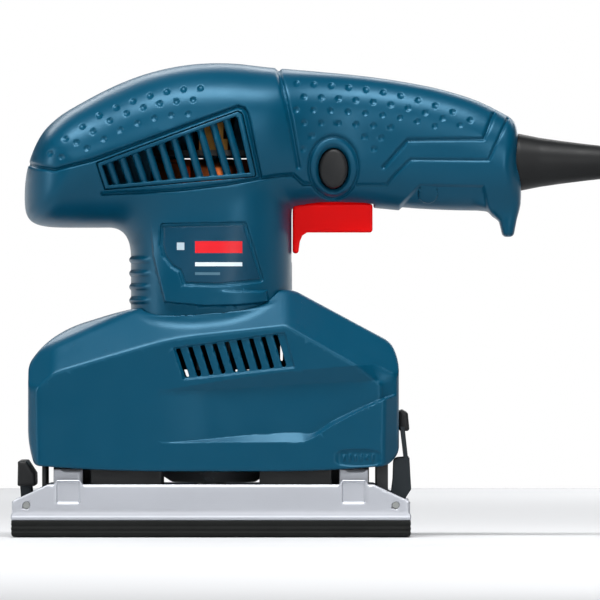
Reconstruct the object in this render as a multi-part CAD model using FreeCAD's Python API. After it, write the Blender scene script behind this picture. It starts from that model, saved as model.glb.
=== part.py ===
"""Orbital finishing sander with a mains lead, built as an assembly of separate pieces.

Frame: millimetres, +Z up. The origin is the centre of the backing pad's working face, under the
pad bearing's axis. The nose points along -X, the handle and the lead along +X. The side with the
lock button is -Y.
"""

import FreeCAD
import Part
import math
import os

V = FreeCAD.Vector

# ---- driving dimensions -------------------------------------------------------------------------
PAD_LENGTH = 182.0
PAD_WIDTH = 92.0
PAD_THICK = 7.7
ORBIT_RADIUS = 1.0
WALL = 3.0

MOTOR_X = ORBIT_RADIUS  # the motor's axis; the pad bearing's axis is at X = 0

# base plate
PLATE_FLOOR = 2.5
PLATE_FLOOR_TOP = PAD_THICK + PLATE_FLOOR
PLATE_WALL_TOP = 23.9
PLATE_WALL = 2.0
PLATE_HALF_W = PAD_WIDTH / 2 - 0.5
PLATE_END_TOP = 16.2
TAB_X = 65.0
TAB_TOP = 26.0
POST_TOP = 31.0
POST_Y = 35.5
CLAMP_PIN_X = 84.0
CLAMP_PIN_Z = 14.4
CLAMP_PIN_R = 1.5

# hood
HOOD_BOTTOM = 29.8
HOOD_HALF_W = 44.0
HOOD_X0, HOOD_X1 = -82.8, 85.0

# neck, nose and handle
NECK_HALF_X, NECK_HALF_Y = 36.3, 35.5
NECK_BOTTOM = 97.0
NOSE_BOTTOM = 141.7
TOP_Z = 216.1
HANDLE_END_X = 141.0
LEAD_Z = 170.8

# motor stack, from the bottom up
BEARING_R, BEARING_BORE_R, BEARING_W = 13.0, 5.0, 8.0
TOP_BEARING_R, TOP_BEARING_BORE_R, TOP_BEARING_W = 11.0, 4.0, 7.0
PAD_BEARING_Z = 13.0
LOW_BEARING_Z = 58.0
TOP_BEARING_Z = 198.0
CORE_Z0, CORE_Z1 = 118.0, 158.0
CORE_R = 21.0
STATOR_R = 31.0
AIR_GAP = 0.6
LEDGE_R = 9.5  # bearing seats are open inside this radius, so only the outer rings rest on them
BRACKET_Z0, BRACKET_Z1 = 52.0, 56.0

# controls
TRIGGER_X0, TRIGGER_X1 = 37.0, 73.6
TRIGGER_TOP, TRIGGER_BOTTOM = 152.0, 138.9
TRIGGER_HALF_W = 9.0
BUTTON_X, BUTTON_Z = 55.7, 167.8
BUTTON_HALF_X, BUTTON_HALF_Z = 6.5, 9.0
SWITCH_Z0, SWITCH_Z1 = 163.2, 182.0

# mains lead
CORD_D = 7.0
CORD_R = CORD_D / 2
COIL_CENTRE = (240.0, 0.0)
COIL_R = 41.0
TIE_T = 0.7


# ---- small helpers ------------------------------------------------------------------------------
def box(x0, x1, y0, y1, z0, z1):
    return Part.makeBox(x1 - x0, y1 - y0, z1 - z0, V(x0, y0, z0))


def rod(radius, start, end):
    """A solid cylinder between two points."""
    a, b = V(*start), V(*end)
    return Part.makeCylinder(radius, (b - a).Length, a, b - a)


def ring(outer, inner, z0, z1, x=0.0, y=0.0):
    return rod(outer, (x, y, z0), (x, y, z1)).cut(rod(inner, (x, y, z0 - 1), (x, y, z1 + 1)))


def fuse(shapes):
    first, rest = shapes[0], shapes[1:]
    return first.multiFuse(rest).removeSplitter() if rest else first


def group(shapes):
    """Separate solids in one node."""
    return Part.makeCompound([s for shape in shapes for s in shape.Solids])


def mirror_y(shape):
    return shape.mirror(V(0, 0, 0), V(0, 1, 0))


def mirror_x(shape):
    return shape.mirror(V(0, 0, 0), V(1, 0, 0))


def rounded_wire(corners, place):
    """A closed wire through (u, v, radius) corners, each rounded by its own radius."""
    pts = [V(c[0], c[1], 0) for c in corners]
    radii = [c[2] if len(c) > 2 else 0.0 for c in corners]
    stretches = []
    for i, p in enumerate(pts):
        to_prev = (pts[i - 1] - p).normalize()
        to_next = (pts[(i + 1) % len(pts)] - p).normalize()
        if radii[i] <= 0:
            stretches.append((p, None, p))
            continue
        half = to_prev.getAngle(to_next) / 2
        reach = radii[i] / math.tan(half)
        middle = (to_prev + to_next).normalize() * (radii[i] / math.sin(half) - radii[i])
        stretches.append((p + to_prev * reach, p + middle, p + to_next * reach))
    edges = []
    for i, (start, middle, end) in enumerate(stretches):
        if middle is not None:
            edges.append(Part.Arc(place(start), place(middle), place(end)).toShape())
        following = stretches[(i + 1) % len(stretches)][0]
        if (following - end).Length > 1e-6:
            edges.append(Part.LineSegment(place(end), place(following)).toShape())
    return Part.Wire(edges)


def prism_xz(corners, y0, y1):
    face = Part.Face(rounded_wire(corners, lambda p: V(p.x, y0, p.y)))
    return face.extrude(V(0, y1 - y0, 0))


def prism_xy(corners, z0, z1):
    face = Part.Face(rounded_wire(corners, lambda p: V(p.x, p.y, z0)))
    return face.extrude(V(0, 0, z1 - z0))


def prism_yz(corners, x0, x1):
    face = Part.Face(rounded_wire(corners, lambda p: V(x0, p.x, p.y)))
    return face.extrude(V(x1 - x0, 0, 0))


def turned(profile, x=0.0, y=0.0):
    """A solid of revolution about the vertical line at (x, y), from (radius, z) corners."""
    wire = rounded_wire(profile, lambda p: V(x + p.x, y, p.y))
    return Part.Face(wire).revolve(V(x, y, 0), V(0, 0, 1), 360)


def turned_x(profile, z, y=0.0):
    """A solid of revolution about the line along X at (y, z), from (x, radius) corners."""
    wire = rounded_wire(profile, lambda p: V(p.x, y, z + p.y))
    return Part.Face(wire).revolve(V(0, y, z), V(1, 0, 0), 360)


def oval_points(half_u, half_v, power, count):
    """Points round a superellipse, starting on the +u axis."""
    points = []
    for i in range(count):
        a = 2 * math.pi * i / count
        c, s = math.cos(a), math.sin(a)
        u = math.copysign(abs(c) ** (2 / power), c) * half_u
        v = math.copysign(abs(s) ** (2 / power), s) * half_v
        points.append((u, v))
    return points


def smooth_loop(points):
    curve = Part.BSplineCurve()
    curve.interpolate(Points=points, PeriodicFlag=True)
    return Part.Wire([curve.toShape()])


def half_space(p1, p2, p3, keep_from):
    """A big block on the side of the plane p1 p2 p3 away from the point keep_from."""
    a, b, c, k = V(*p1), V(*p2), V(*p3), V(*keep_from)
    normal = (b - a).cross(c - a).normalize()
    if (k - a).dot(normal) > 0:
        normal = normal * -1
    size = 600.0
    block = Part.makeBox(size, size, size, V(-size / 2, -size / 2, 0))
    block.Placement = FreeCAD.Placement(a, FreeCAD.Rotation(V(0, 0, 1), normal))
    return block


def helix_spring(wire_r, coil_r, start, axis, length, turns):
    """A coil spring as stacked rings, which keeps its length, width and gaps."""
    a, direction = V(*start), V(*axis).normalize()
    rings = []
    for i in range(turns):
        centre = a + direction * (wire_r + (length - 2 * wire_r) * i / (turns - 1))
        rings.append(Part.makeTorus(coil_r, wire_r, centre, direction))
    return group(rings)


def ball_bearing(outer_r, bore_r, z0, width, x=0.0, balls=9):
    """The outer ring, and the inner ring with its balls, which turn together."""
    middle = (outer_r + bore_r) / 2
    land = (outer_r - bore_r) * 0.18
    ball_r = (outer_r - bore_r) * 0.24
    zc = z0 + width / 2
    track = Part.makeTorus(middle, ball_r + 0.05, V(x, 0, zc), V(0, 0, 1))
    outer = ring(outer_r, middle + land, z0, z0 + width, x).cut(track)
    inner = ring(middle - land, bore_r, z0, z0 + width, x).cut(track)
    spheres = []
    for i in range(balls):
        a = 2 * math.pi * i / balls
        spheres.append(Part.makeSphere(ball_r, V(x + middle * math.cos(a), middle * math.sin(a), zc)))
    return outer, group([inner] + spheres)


# ---- upper housing: nose, neck and handle -------------------------------------------------------
# (x, bottom, top, half width) along the body, from the blunt nose to the handle's end
BODY_STATIONS = [
    (-84.9, 159.0, 170.0, 13.0),
    (-83.0, 148.6, 175.0, 20.5),
    (-78.6, 142.4, 181.7, 26.5),
    (-67.0, NOSE_BOTTOM, 191.4, 31.5),
    (-48.0, NOSE_BOTTOM, 202.2, 35.5),
    (-22.0, NOSE_BOTTOM, 212.6, 38.0),
    (6.0, NOSE_BOTTOM, TOP_Z, 38.5),
    (27.0, 144.0, 213.6, 34.0),
    (44.0, 151.0, 212.0, 26.5),
    (64.0, 152.0, 210.2, 22.0),
    (90.0, 149.5, 206.8, 20.5),
    (114.0, 148.3, 201.2, 20.5),
    (131.0, 148.6, 193.8, 20.5),
    (HANDLE_END_X, 153.5, 186.6, 17.5),
]
BODY_POWER = 2.5


def body_loft(inset):
    """The nose and handle, with every section taken in by inset."""
    wires = []
    for x, bottom, top, half_w in BODY_STATIONS:
        if inset and not BODY_STATIONS[0][0] + inset < x < HANDLE_END_X:
            continue
        middle, half_h = (top + bottom) / 2, (top - bottom) / 2
        points = oval_points(half_w - inset, half_h - inset, BODY_POWER, 16)
        wires.append(smooth_loop([V(x, u, middle + v) for u, v in points]))
    if inset:
        x, bottom, top, half_w = BODY_STATIONS[-1]
        points = oval_points(half_w - inset, (top - bottom) / 2 - inset, BODY_POWER, 16)
        wires.append(smooth_loop([V(x - inset, u, (top + bottom) / 2 + v) for u, v in points]))
    return Part.makeLoft(wires, True, True)


def neck_column(inset, z0, z1):
    points = oval_points(NECK_HALF_X - inset, NECK_HALF_Y - inset, BODY_POWER, 24)
    wire = smooth_loop([V(u, v, z0) for u, v in points])
    return Part.Face(wire).extrude(V(0, 0, z1 - z0))


def finger_guard():
    """The prong that hangs from the handle's rear end."""
    corners = [
        (121.0, 170.0),
        (121.0, 148.3),
        (129.5, 148.3, 7.0),
        (133.4, 136.4, 2.2),
        (137.5, 136.4, 2.2),
        (140.8, 157.0),
        (140.8, 170.0),
    ]
    return prism_xz(corners, -12.5, 12.5)


SCREWS = [(-70.0, 152.0), (-50.0, 188.0), (34.0, 201.0), (99.0, 156.5), (124.0, 188.0)]
BOSS_R = 4.5
SCREW_R = 1.6
SCREW_HEAD_R = 3.4
SCREW_WELL = 9.0
CLAMP_X0, CLAMP_X1 = 107.0, 115.0


def upper_housing():
    """The two clamshell halves, with their bosses, bearing seat and motor webs."""
    outer = fuse([body_loft(0.0), neck_column(0.0, NECK_BOTTOM, 175.0), finger_guard()])
    hollow = fuse([body_loft(WALL), neck_column(WALL, NECK_BOTTOM - 1, 175.0)])
    shell = outer.cut(hollow)

    seat = rod(TOP_BEARING_R + 3.0, (MOTOR_X, 0, 196.5), (MOTOR_X, 0, 214.0))
    webs = [seat, box(MOTOR_X - 2, MOTOR_X + 2, -32, 32, 196.5, 212.0)]
    for z in (121.0, 151.0):
        webs.append(neck_column(WALL - 0.2, z, z + 3.0))
    webs = fuse(webs).common(outer)
    webs = webs.cut(rod(STATOR_R, (MOTOR_X, 0, 100), (MOTOR_X, 0, 176)))
    webs = webs.cut(rod(TOP_BEARING_R + 0.01, (MOTOR_X, 0, 190), (MOTOR_X, 0, 205.1)))
    webs = webs.cut(rod(6.0, (MOTOR_X, 0, 190), (MOTOR_X, 0, 209)))

    bosses = [rod(BOSS_R, (x, -45, z), (x, 45, z)) for x, z in SCREWS]
    bosses = fuse(bosses).common(outer)
    gland = box(126.5, 131.0, -16.0, 16.0, 158.0, 184.0).common(outer)
    gland = gland.cut(rod(8.6, (120, 0, LEAD_Z), (150, 0, LEAD_Z)))
    saddle = box(CLAMP_X0, CLAMP_X1, -12.0, 12.0, 148.0, LEAD_Z - CORD_R).common(outer)
    for side in (-1, 1):
        hole = rod(SCREW_R, ((CLAMP_X0 + CLAMP_X1) / 2, side * 8.0, 155.0),
                   ((CLAMP_X0 + CLAMP_X1) / 2, side * 8.0, 170.0))
        saddle = saddle.cut(hole)
    shell = fuse([shell, webs, bosses, gland, saddle])
    flange = neck_column(-2.6, NECK_BOTTOM, NECK_BOTTOM + 2.5).cut(neck_column(WALL, 90, 110))
    shell = fuse([shell, flange])

    for opening in (grille_prism(0.15), mirror_y(grille_prism(0.15)), trigger_slot()):
        shell = shell.cut(opening)
    shell = shell.cut(turned_x([(131.0, 0), (131.0, 15.2), (136.5, 15.2), (136.5, 13.5),
                                (150.0, 13.5), (150.0, 0)], LEAD_Z))
    left = shell.common(box(-100, 160, -60, 0, 80, 230))
    right = shell.common(box(-100, 160, 0, 60, 80, 230))
    for x, z in SCREWS:
        left = left.cut(rod(SCREW_R, (x, -14, z), (x, 1, z)))
        right = right.cut(rod(SCREW_R + 0.4, (x, -1, z), (x, 50, z)))
        right = right.cut(rod(SCREW_HEAD_R + 0.4, (x, SCREW_WELL, z), (x, 50, z)))
    left = left.cut(button_hole())
    return left, right


def trigger_slot():
    half = TRIGGER_HALF_W + 0.5
    return box(TRIGGER_X0 - 0.2, TRIGGER_X1 + 0.5, -half, half, 130.0, 160.8)


def button_hole():
    points = oval_points(BUTTON_HALF_X + 0.35, BUTTON_HALF_Z + 0.35, 2.0, 16)
    wire = smooth_loop([V(BUTTON_X + u, -45.0, BUTTON_Z + v) for u, v in points])
    return Part.Face(wire).extrude(V(0, 33.0, 0))


# ---- side grilles -------------------------------------------------------------------------------
GRILLE_OUTLINE = [(-53.6, 171.5, 1.5), (12.3, 195.6, 3.0), (21.6, 163.4, 1.5), (-49.0, 157.2, 1.5)]
GRILLE_FRAME = 2.2
GRILLE_SLOTS = 11
GRILLE_Y0, GRILLE_Y1 = 24.0, 46.0


def grille_prism(grow):
    face = Part.Face(rounded_wire(GRILLE_OUTLINE, lambda p: V(p.x, GRILLE_Y0, p.y)))
    if grow:
        face = face.makeOffset2D(grow)
    return face.extrude(V(0, GRILLE_Y1 - GRILLE_Y0, 0))


def along(a, b, share):
    return (a[0] + (b[0] - a[0]) * share, a[1] + (b[1] - a[1]) * share)


def grille_slots():
    """Leaning slots between the fins, from the frame's top bar to its bottom bar."""
    f = GRILLE_FRAME
    top_left, top_right = (-51.4, 171.2 - f), (11.4, 194.6 - f)
    low_left, low_right = (-47.4, 157.4 + f), (18.4, 163.2 + f)
    slots = []
    for i in range(GRILLE_SLOTS):
        a, b = (i + 0.22) / GRILLE_SLOTS, (i + 0.78) / GRILLE_SLOTS
        corners = [along(top_left, top_right, a), along(top_left, top_right, b),
                   along(low_left, low_right, b), along(low_left, low_right, a)]
        slots.append(prism_xz(corners, GRILLE_Y0 - 2, GRILLE_Y1 + 2))
    return slots


def grilles():
    wall = body_loft(0.0).cut(body_loft(WALL))
    right = wall.common(grille_prism(0.0))
    for slot in grille_slots():
        right = right.cut(slot)
    return mirror_y(right), right


# ---- hood over the base plate -------------------------------------------------------------------
HOOD_PROFILE = [
    (-79.6, 33.0, 1.5),
    (-47.0, HOOD_BOTTOM),
    (52.0, HOOD_BOTTOM),
    (79.6, 33.0, 1.5),
    (HOOD_X1, 40.0, 6.0),
    (HOOD_X1, 86.8, 12.0),
    (36.9, 112.6),
    (-37.3, 102.8),
    (HOOD_X0, 86.7, 16.0),
    (HOOD_X0, 42.0, 8.0),
]
# The roof falls from the ridge to a crease along each side: three planes per side, each given by
# two points of the crease (x, z) and one point nearer the ridge (x, y, z).
HOOD_CREASE = [(-73.0, 74.6), (-17.7, 90.4), (34.8, 96.0), (78.7, 71.8)]
HOOD_CREASE_Y = 42.6
HOOD_RIDGE_Y = 25.0
HOOD_RISE = 16.8


def hood_block(inset):
    face = Part.Face(rounded_wire(HOOD_PROFILE, lambda p: V(p.x, -60.0, p.y)))
    if inset:
        face = face.makeOffset2D(-inset)
    block = face.extrude(V(0, 120.0, 0))
    x0, x1, y1 = HOOD_X0 + inset, HOOD_X1 - inset, HOOD_HALF_W - inset
    plan = prism_xy([(x0, -y1, 13), (x1, -y1, 13), (x1, y1, 13), (x0, y1, 13)], 20, 130)
    block = block.common(plan)
    for side in (-1, 1):
        y_c, y_r = side * (HOOD_CREASE_Y - inset), side * (HOOD_RIDGE_Y - inset)
        for (xa, za), (xb, zb) in zip(HOOD_CREASE[:-1], HOOD_CREASE[1:]):
            rise = HOOD_RISE
            block = block.cut(half_space((xa, y_c, za - inset), (xb, y_c, zb - inset),
                                         ((xa + xb) / 2, y_r, (za + zb) / 2 + rise - inset),
                                         (0, 0, 40)))
        block = block.cut(half_space((-60, y_c, 90), (60, y_c, 90), (0, side * (HOOD_HALF_W - inset), 30),
                                     (0, 0, 40)))
    return block


def hood_vents():
    """Nine leaning slots in each side wall."""
    top_left, top_right = (-15.6, 88.2), (34.6, 92.2)
    low_left, low_right = (-11.0, 72.6), (38.2, 77.2)
    slots = []
    count = 9
    for i in range(count):
        a, b = (i + 0.12) / count, (i + 0.72) / count
        corners = [along(top_left, top_right, a), along(top_left, top_right, b),
                   along(low_left, low_right, b), along(low_left, low_right, a)]
        slots.append(prism_xz(corners, -60.0, 60.0))
    return slots


BRACKET_SCREWS = [(sx * 55.0, sy * 33.0) for sx in (-1, 1) for sy in (-1, 1)]


def base_hood():
    cavity = fuse([hood_block(WALL), box(HOOD_X0 + 6, HOOD_X1 - 6, -HOOD_HALF_W + WALL,
                                         HOOD_HALF_W - WALL, 20.0, 45.0)])
    hood = hood_block(0.0).cut(cavity)
    hood = hood.cut(neck_column(-0.15, 90.0, 130.0))
    hood = hood.cut(neck_column(-2.8, 80.0, NECK_BOTTOM + 2.7))
    for slot in hood_vents():
        hood = hood.cut(slot)
    posts = [rod(4.5, (x, y, BRACKET_Z1), (x, y, 100.0)) for x, y in BRACKET_SCREWS]
    posts = fuse(posts).common(hood_block(WALL / 2))
    hood = fuse([hood, posts])
    for x, y in BRACKET_SCREWS:
        hood = hood.cut(rod(SCREW_R, (x, y, BRACKET_Z1 - 1), (x, y, BRACKET_Z1 + 13)))
    return hood


# ---- motor frame and flexible feet --------------------------------------------------------------
FOOT_R = 4.0
FOOT_TOP_R = 5.4


def bearing_bracket():
    """The plate that holds the lower motor bearing and the tops of the flexible feet."""
    plate = prism_xy([(-73, -38.5, 8), (73, -38.5, 8), (73, 38.5, 8), (-73, 38.5, 8)],
                     BRACKET_Z0, BRACKET_Z1)
    hub = turned([(0, BRACKET_Z0), (18.0, BRACKET_Z0), (18.0, 67.0), (0, 67.0)], MOTOR_X)
    bracket = fuse([plate, hub])
    bracket = bracket.cut(rod(LEDGE_R, (MOTOR_X, 0, 50), (MOTOR_X, 0, 70)))
    bracket = bracket.cut(rod(BEARING_R + 0.01, (MOTOR_X, 0, LOW_BEARING_Z), (MOTOR_X, 0, 70)))
    for side in (-1, 1):
        window = prism_xy([(side * 27, -22, 4), (side * 50, -22, 4), (side * 50, 22, 4),
                           (side * 27, 22, 4)], 50, 60)
        bracket = bracket.cut(window)
    for x, y in BRACKET_SCREWS:
        bracket = bracket.cut(rod(SCREW_R + 0.4, (x, y, 50), (x, y, 60)))
    for x, y in FOOT_PLACES:
        bracket = bracket.cut(rod(FOOT_R + 0.2, (x, y, 50), (x, y, 60)))
    return bracket


FOOT_PLACES = [(sx * TAB_X, sy * (POST_Y - 5.5)) for sx in (-1, 1) for sy in (-1, 1)]


def flex_foot(x, y):
    """A rubber column: a head over the bracket, a slim waist, and a bulb in the plate's cup."""
    return turned([
        (0, 12.0),
        (FOOT_TOP_R - 0.1, 12.0, 0.6),
        (FOOT_TOP_R - 0.1, 19.0, 0.6),
        (FOOT_R - 0.9, 21.5),
        (FOOT_R - 0.9, 47.0),
        (FOOT_TOP_R, 49.0),
        (FOOT_TOP_R, BRACKET_Z0),
        (FOOT_R, BRACKET_Z0),
        (FOOT_R, BRACKET_Z1),
        (FOOT_TOP_R, BRACKET_Z1),
        (FOOT_TOP_R, 59.0, 1.0),
        (0, 59.0),
    ], x, y)


# ---- base plate and pad -------------------------------------------------------------------------
def side_wall(y0, y1):
    """One upstand of the plate: level in the middle, falling to both ends, with two raised tabs."""
    half = PAD_LENGTH / 2
    corners = [(-half + 0.4, PAD_THICK)]
    corners += [(half - 0.4, PAD_THICK), (half - 0.4, PLATE_END_TOP), (TAB_X + 9, PLATE_WALL_TOP)]
    for x in (TAB_X, -TAB_X):
        corners += [(x + 7, PLATE_WALL_TOP), (x + 5.5, TAB_TOP, 0.6), (x - 5.5, TAB_TOP, 0.6),
                    (x - 7, PLATE_WALL_TOP)]
    corners += [(-TAB_X - 9, PLATE_WALL_TOP), (-half + 0.4, PLATE_END_TOP)]
    return prism_xz(corners, y0, y1)


def base_plate():
    half, hw = PAD_LENGTH / 2, PLATE_HALF_W
    floor = prism_xy([(-half, -hw, 2), (half, -hw, 2), (half, hw, 2), (-half, hw, 2)],
                     PAD_THICK, PLATE_FLOOR_TOP)
    lip = prism_xy([(-half, -hw - 0.5, 2.4), (half, -hw - 0.5, 2.4), (half, hw + 0.5, 2.4),
                    (-half, hw + 0.5, 2.4)], PAD_THICK, PAD_THICK + 1.7)
    pieces = [floor, lip, side_wall(-hw, -hw + PLATE_WALL), side_wall(hw - PLATE_WALL, hw)]
    for x, y in FOOT_PLACES:
        inner, outer = sorted((math.copysign(23.5, y), math.copysign(POST_Y + 3.5, y)))
        pieces.append(box(x - 6.6, x + 6.6, inner, outer, PLATE_FLOOR_TOP - 1, POST_TOP))
    pieces.append(turned([(0, PAD_THICK), (17.0, PAD_THICK), (17.0, 22.5, 1.0), (0, 22.5)]))
    for sign in (-1, 1):
        pieces.append(box(-54, 54, sign * 20 - 1, sign * 20 + 1, PLATE_FLOOR_TOP - 1, 14.0))
    plate = fuse(pieces)
    plate = plate.cut(rod(BEARING_R + 0.01, (0, 0, PAD_BEARING_Z), (0, 0, 30)))
    plate = plate.cut(rod(LEDGE_R, (0, 0, PLATE_FLOOR_TOP), (0, 0, 30)))
    for x, y in FOOT_PLACES:
        plate = plate.cut(rod(FOOT_TOP_R, (x, y, 12.0), (x, y, 40)))
    for sign in (-1, 1):
        plate = plate.cut(rod(CLAMP_PIN_R, (sign * CLAMP_PIN_X, -60, CLAMP_PIN_Z),
                              (sign * CLAMP_PIN_X, 60, CLAMP_PIN_Z)))
        for side in (-1, 1):
            y0, y1 = sorted((side * (hw - 0.8), side * (hw + 2)))
            plate = plate.cut(box(sign * TAB_X - 5, sign * TAB_X + 5, y0, y1, 15.6, 25.0))
    for x, y in PAD_SCREWS:
        plate = plate.cut(rod(SCREW_R, (x, y, PAD_THICK - 1), (x, y, 40)))
    return plate


PAD_SCREWS = [(sx * x, sy * 27.0) for x in (12.0, 44.0) for sx in (-1, 1) for sy in (-1, 1)]


def backing_pad():
    half, hw = PAD_LENGTH / 2, PAD_WIDTH / 2
    pad = prism_xy([(-half, -hw, 2.5), (half, -hw, 2.5), (half, hw, 2.5), (-half, hw, 2.5)],
                   0.0, PAD_THICK)
    bottom_edges = [e for e in pad.Edges if abs(e.BoundBox.ZMax) < 1e-6]
    pad = pad.makeChamfer(1.2, bottom_edges)
    for x, y in PAD_SCREWS:
        pad = pad.cut(rod(SCREW_R + 0.2, (x, y, -1), (x, y, 10)))
        pad = pad.cut(rod(SCREW_HEAD_R + 0.6, (x, y, -1), (x, y, 4.5)))
    return pad


def screw(point, direction, length, head_r=SCREW_HEAD_R, head=2.2, radius=SCREW_R - 0.02):
    """A pan-head screw; point is under its head, direction is where its shank goes."""
    p, d = V(*point), V(*direction).normalize()
    shank = Part.makeCylinder(radius, length, p, d)
    top = Part.makeCylinder(head_r, head, p - d * head, d)
    drive = Part.makeCylinder(1.5, head * 0.6, p - d * head, d)
    return shank.fuse(top).cut(drive)


# ---- rotor --------------------------------------------------------------------------------------
SHAFT_R = 5.0
COMM_R = 11.0
COMM_Z0, COMM_Z1 = 178.0, 192.0
FAN_Z0, FAN_Z1 = 73.0, 93.0
FAN_R = 31.0


def shaft():
    main = turned([(0, 40), (SHAFT_R, 40), (SHAFT_R, 196), (TOP_BEARING_BORE_R, 196),
                   (TOP_BEARING_BORE_R, 207), (0, 207)], MOTOR_X)
    return main


def armature_core():
    core = ring(CORE_R, SHAFT_R, CORE_Z0, CORE_Z1, MOTOR_X)
    for i in range(12):
        a = 2 * math.pi * i / 12
        x, y = MOTOR_X + CORE_R * math.cos(a), CORE_R * math.sin(a)
        core = core.cut(rod(1.6, (x, y, CORE_Z0 - 1), (x, y, CORE_Z1 + 1)))
    return core


def armature_windings():
    upper = turned([(7.0, CORE_Z1), (18.5, CORE_Z1, 3), (17.0, 171.0, 4), (7.0, 172.5, 1)], MOTOR_X)
    lower = turned([(7.0, CORE_Z0), (18.5, CORE_Z0, 3), (17.0, 105.0, 4), (7.0, 103.5, 1)], MOTOR_X)
    return group([upper, lower])


def commutator():
    drum = ring(COMM_R, SHAFT_R, COMM_Z0, COMM_Z1, MOTOR_X)
    riser = ring(COMM_R + 1.8, SHAFT_R, COMM_Z0 - 2.5, COMM_Z0, MOTOR_X)
    drum = drum.fuse(riser)
    for i in range(24):
        slot = box(MOTOR_X + COMM_R - 1.2, MOTOR_X + COMM_R + 3, -0.25, 0.25, COMM_Z0 - 3, COMM_Z1 + 1)
        slot.rotate(V(MOTOR_X, 0, 0), V(0, 0, 1), 360 * i / 24)
        drum = drum.cut(slot)
    return drum


def fan():
    disc = turned([(SHAFT_R, FAN_Z1 - 2.2), (FAN_R, FAN_Z1 - 2.2), (FAN_R, FAN_Z1), (SHAFT_R, FAN_Z1)],
                  MOTOR_X)
    hub = ring(10.0, SHAFT_R, FAN_Z0, FAN_Z1, MOTOR_X)
    blades = []
    for i in range(14):
        blade = box(MOTOR_X + 9.0, MOTOR_X + FAN_R - 0.5, -0.9, 0.9, FAN_Z0 + 3, FAN_Z1 - 1)
        blade.rotate(V(MOTOR_X, 0, 0), V(0, 0, 1), 360 * i / 14)
        blades.append(blade)
    return fuse([disc, hub] + blades)


def counterweight():
    """The balance disc under the motor, heavy on the side away from the pad bearing's pin."""
    disc = turned([(0, 24.5), (19.0, 24.5, 2), (27.5, 30.0, 4), (27.5, 34.0), (0, 34.0)], MOTOR_X)
    sector = ring(26.5, 9.0, 34.0, 46.0, MOTOR_X).common(box(MOTOR_X + 4, 60, -60, 60, 30, 50))
    hub = rod(11.0, (MOTOR_X, 0, 34.0), (MOTOR_X, 0, 50.0))
    pin = rod(BEARING_BORE_R, (0, 0, 12.2), (0, 0, 30.0))
    shoulder = rod(7.0, (0, 0, PAD_BEARING_Z + BEARING_W), (0, 0, 25.0))
    weight = fuse([disc, sector, hub, pin, shoulder])
    return weight.cut(rod(SHAFT_R, (MOTOR_X, 0, 40.0), (MOTOR_X, 0, 60.0)))


# ---- stator, brushes ----------------------------------------------------------------------------
def sector_ring(outer, inner, z0, z1, mid_deg, span_deg):
    face = ring(outer, inner, z0, z1, MOTOR_X)
    wedge_r = outer * 2
    points = [V(MOTOR_X, 0, z0 - 1)]
    for k in range(5):
        a = math.radians(mid_deg - span_deg / 2 + span_deg * k / 4)
        points.append(V(MOTOR_X + wedge_r * math.cos(a), wedge_r * math.sin(a), z0 - 1))
    wedge = Part.Face(Part.makePolygon(points + [points[0]])).extrude(V(0, 0, z1 - z0 + 2))
    return face.common(wedge)


def stator_core():
    yoke = ring(STATOR_R, STATOR_R - 4.6, CORE_Z0, CORE_Z1, MOTOR_X)
    poles = [sector_ring(STATOR_R - 4, CORE_R + AIR_GAP, CORE_Z0, CORE_Z1, a, 84) for a in (0, 180)]
    return fuse([yoke] + poles)


def field_coils():
    """Two copper coils, one round each pole: side runs in the slots and an arc over each end."""
    made = []
    inner, outer = CORE_R + 1.6, STATOR_R - 4.8
    for middle in (0, 180):
        runs = [sector_ring(outer, inner, CORE_Z0 - 12, CORE_Z1 + 12, middle + s * 53, 18)
                for s in (-1, 1)]
        over = [sector_ring(outer + 3.0, inner, CORE_Z1 + 0.2, CORE_Z1 + 14, middle, 124),
                sector_ring(outer + 3.0, inner, CORE_Z0 - 14, CORE_Z0 - 0.2, middle, 124)]
        made.append(fuse(runs + over))
    return group(made)


BRUSH_Z = 185.0


def brush_parts():
    """Holder tubes, carbon brushes and their springs, one of each on both sides."""
    plate = ring(32.0, 14.0, 173.6, 176.2, MOTOR_X)
    tubes, brushes, springs = [], [], []
    for side in (-1, 1):
        y_in, y_out = side * 13.2, side * 30.5
        y0, y1 = sorted((y_in, y_out))
        tube = box(MOTOR_X - 4.5, MOTOR_X + 4.5, y0, y1, BRUSH_Z - 4.0, BRUSH_Z + 4.0)
        foot = box(MOTOR_X - 6.5, MOTOR_X + 6.5, y0, y1, 176.2, BRUSH_Z - 3.8)
        b0, b1 = sorted((side * 11.2, side * 23.0))
        s0, s1 = sorted((side * 12.0, side * 29.3))
        tube = tube.fuse(foot).cut(box(MOTOR_X - 3.2, MOTOR_X + 3.2, s0, s1, BRUSH_Z - 2.7,
                                       BRUSH_Z + 2.7))
        tubes.append(tube)
        brushes.append(box(MOTOR_X - 3.1, MOTOR_X + 3.1, b0, b1, BRUSH_Z - 2.6, BRUSH_Z + 2.6))
        springs.append(helix_spring(0.35, 2.0, (MOTOR_X, side * 23.1, BRUSH_Z), (0, side, 0), 6.0, 6))
    return plate, group(tubes), group(brushes), group(springs)


# ---- sheet clamps at the plate's ends -----------------------------------------------------------
# Both are drawn at the +X end, with u measured outward from the pin, and the nose's is mirrored.
EAR_Y = 30.0
HUB_R = 3.1
TOE_HALF_W = 23.0
JAW_Z0, JAW_Z1 = PLATE_FLOOR_TOP + 0.15, PLATE_FLOOR_TOP + 1.35


def clamp_pin():
    hw = PLATE_HALF_W
    return rod(CLAMP_PIN_R, (CLAMP_PIN_X, -hw, CLAMP_PIN_Z), (CLAMP_PIN_X, hw, CLAMP_PIN_Z))


def clamp_spring():
    """A torsion spring wound on the clamp pin."""
    return helix_spring(0.5, CLAMP_PIN_R + 0.7, (CLAMP_PIN_X, -12.0, CLAMP_PIN_Z), (0, 1, 0), 10.0, 8)


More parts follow.
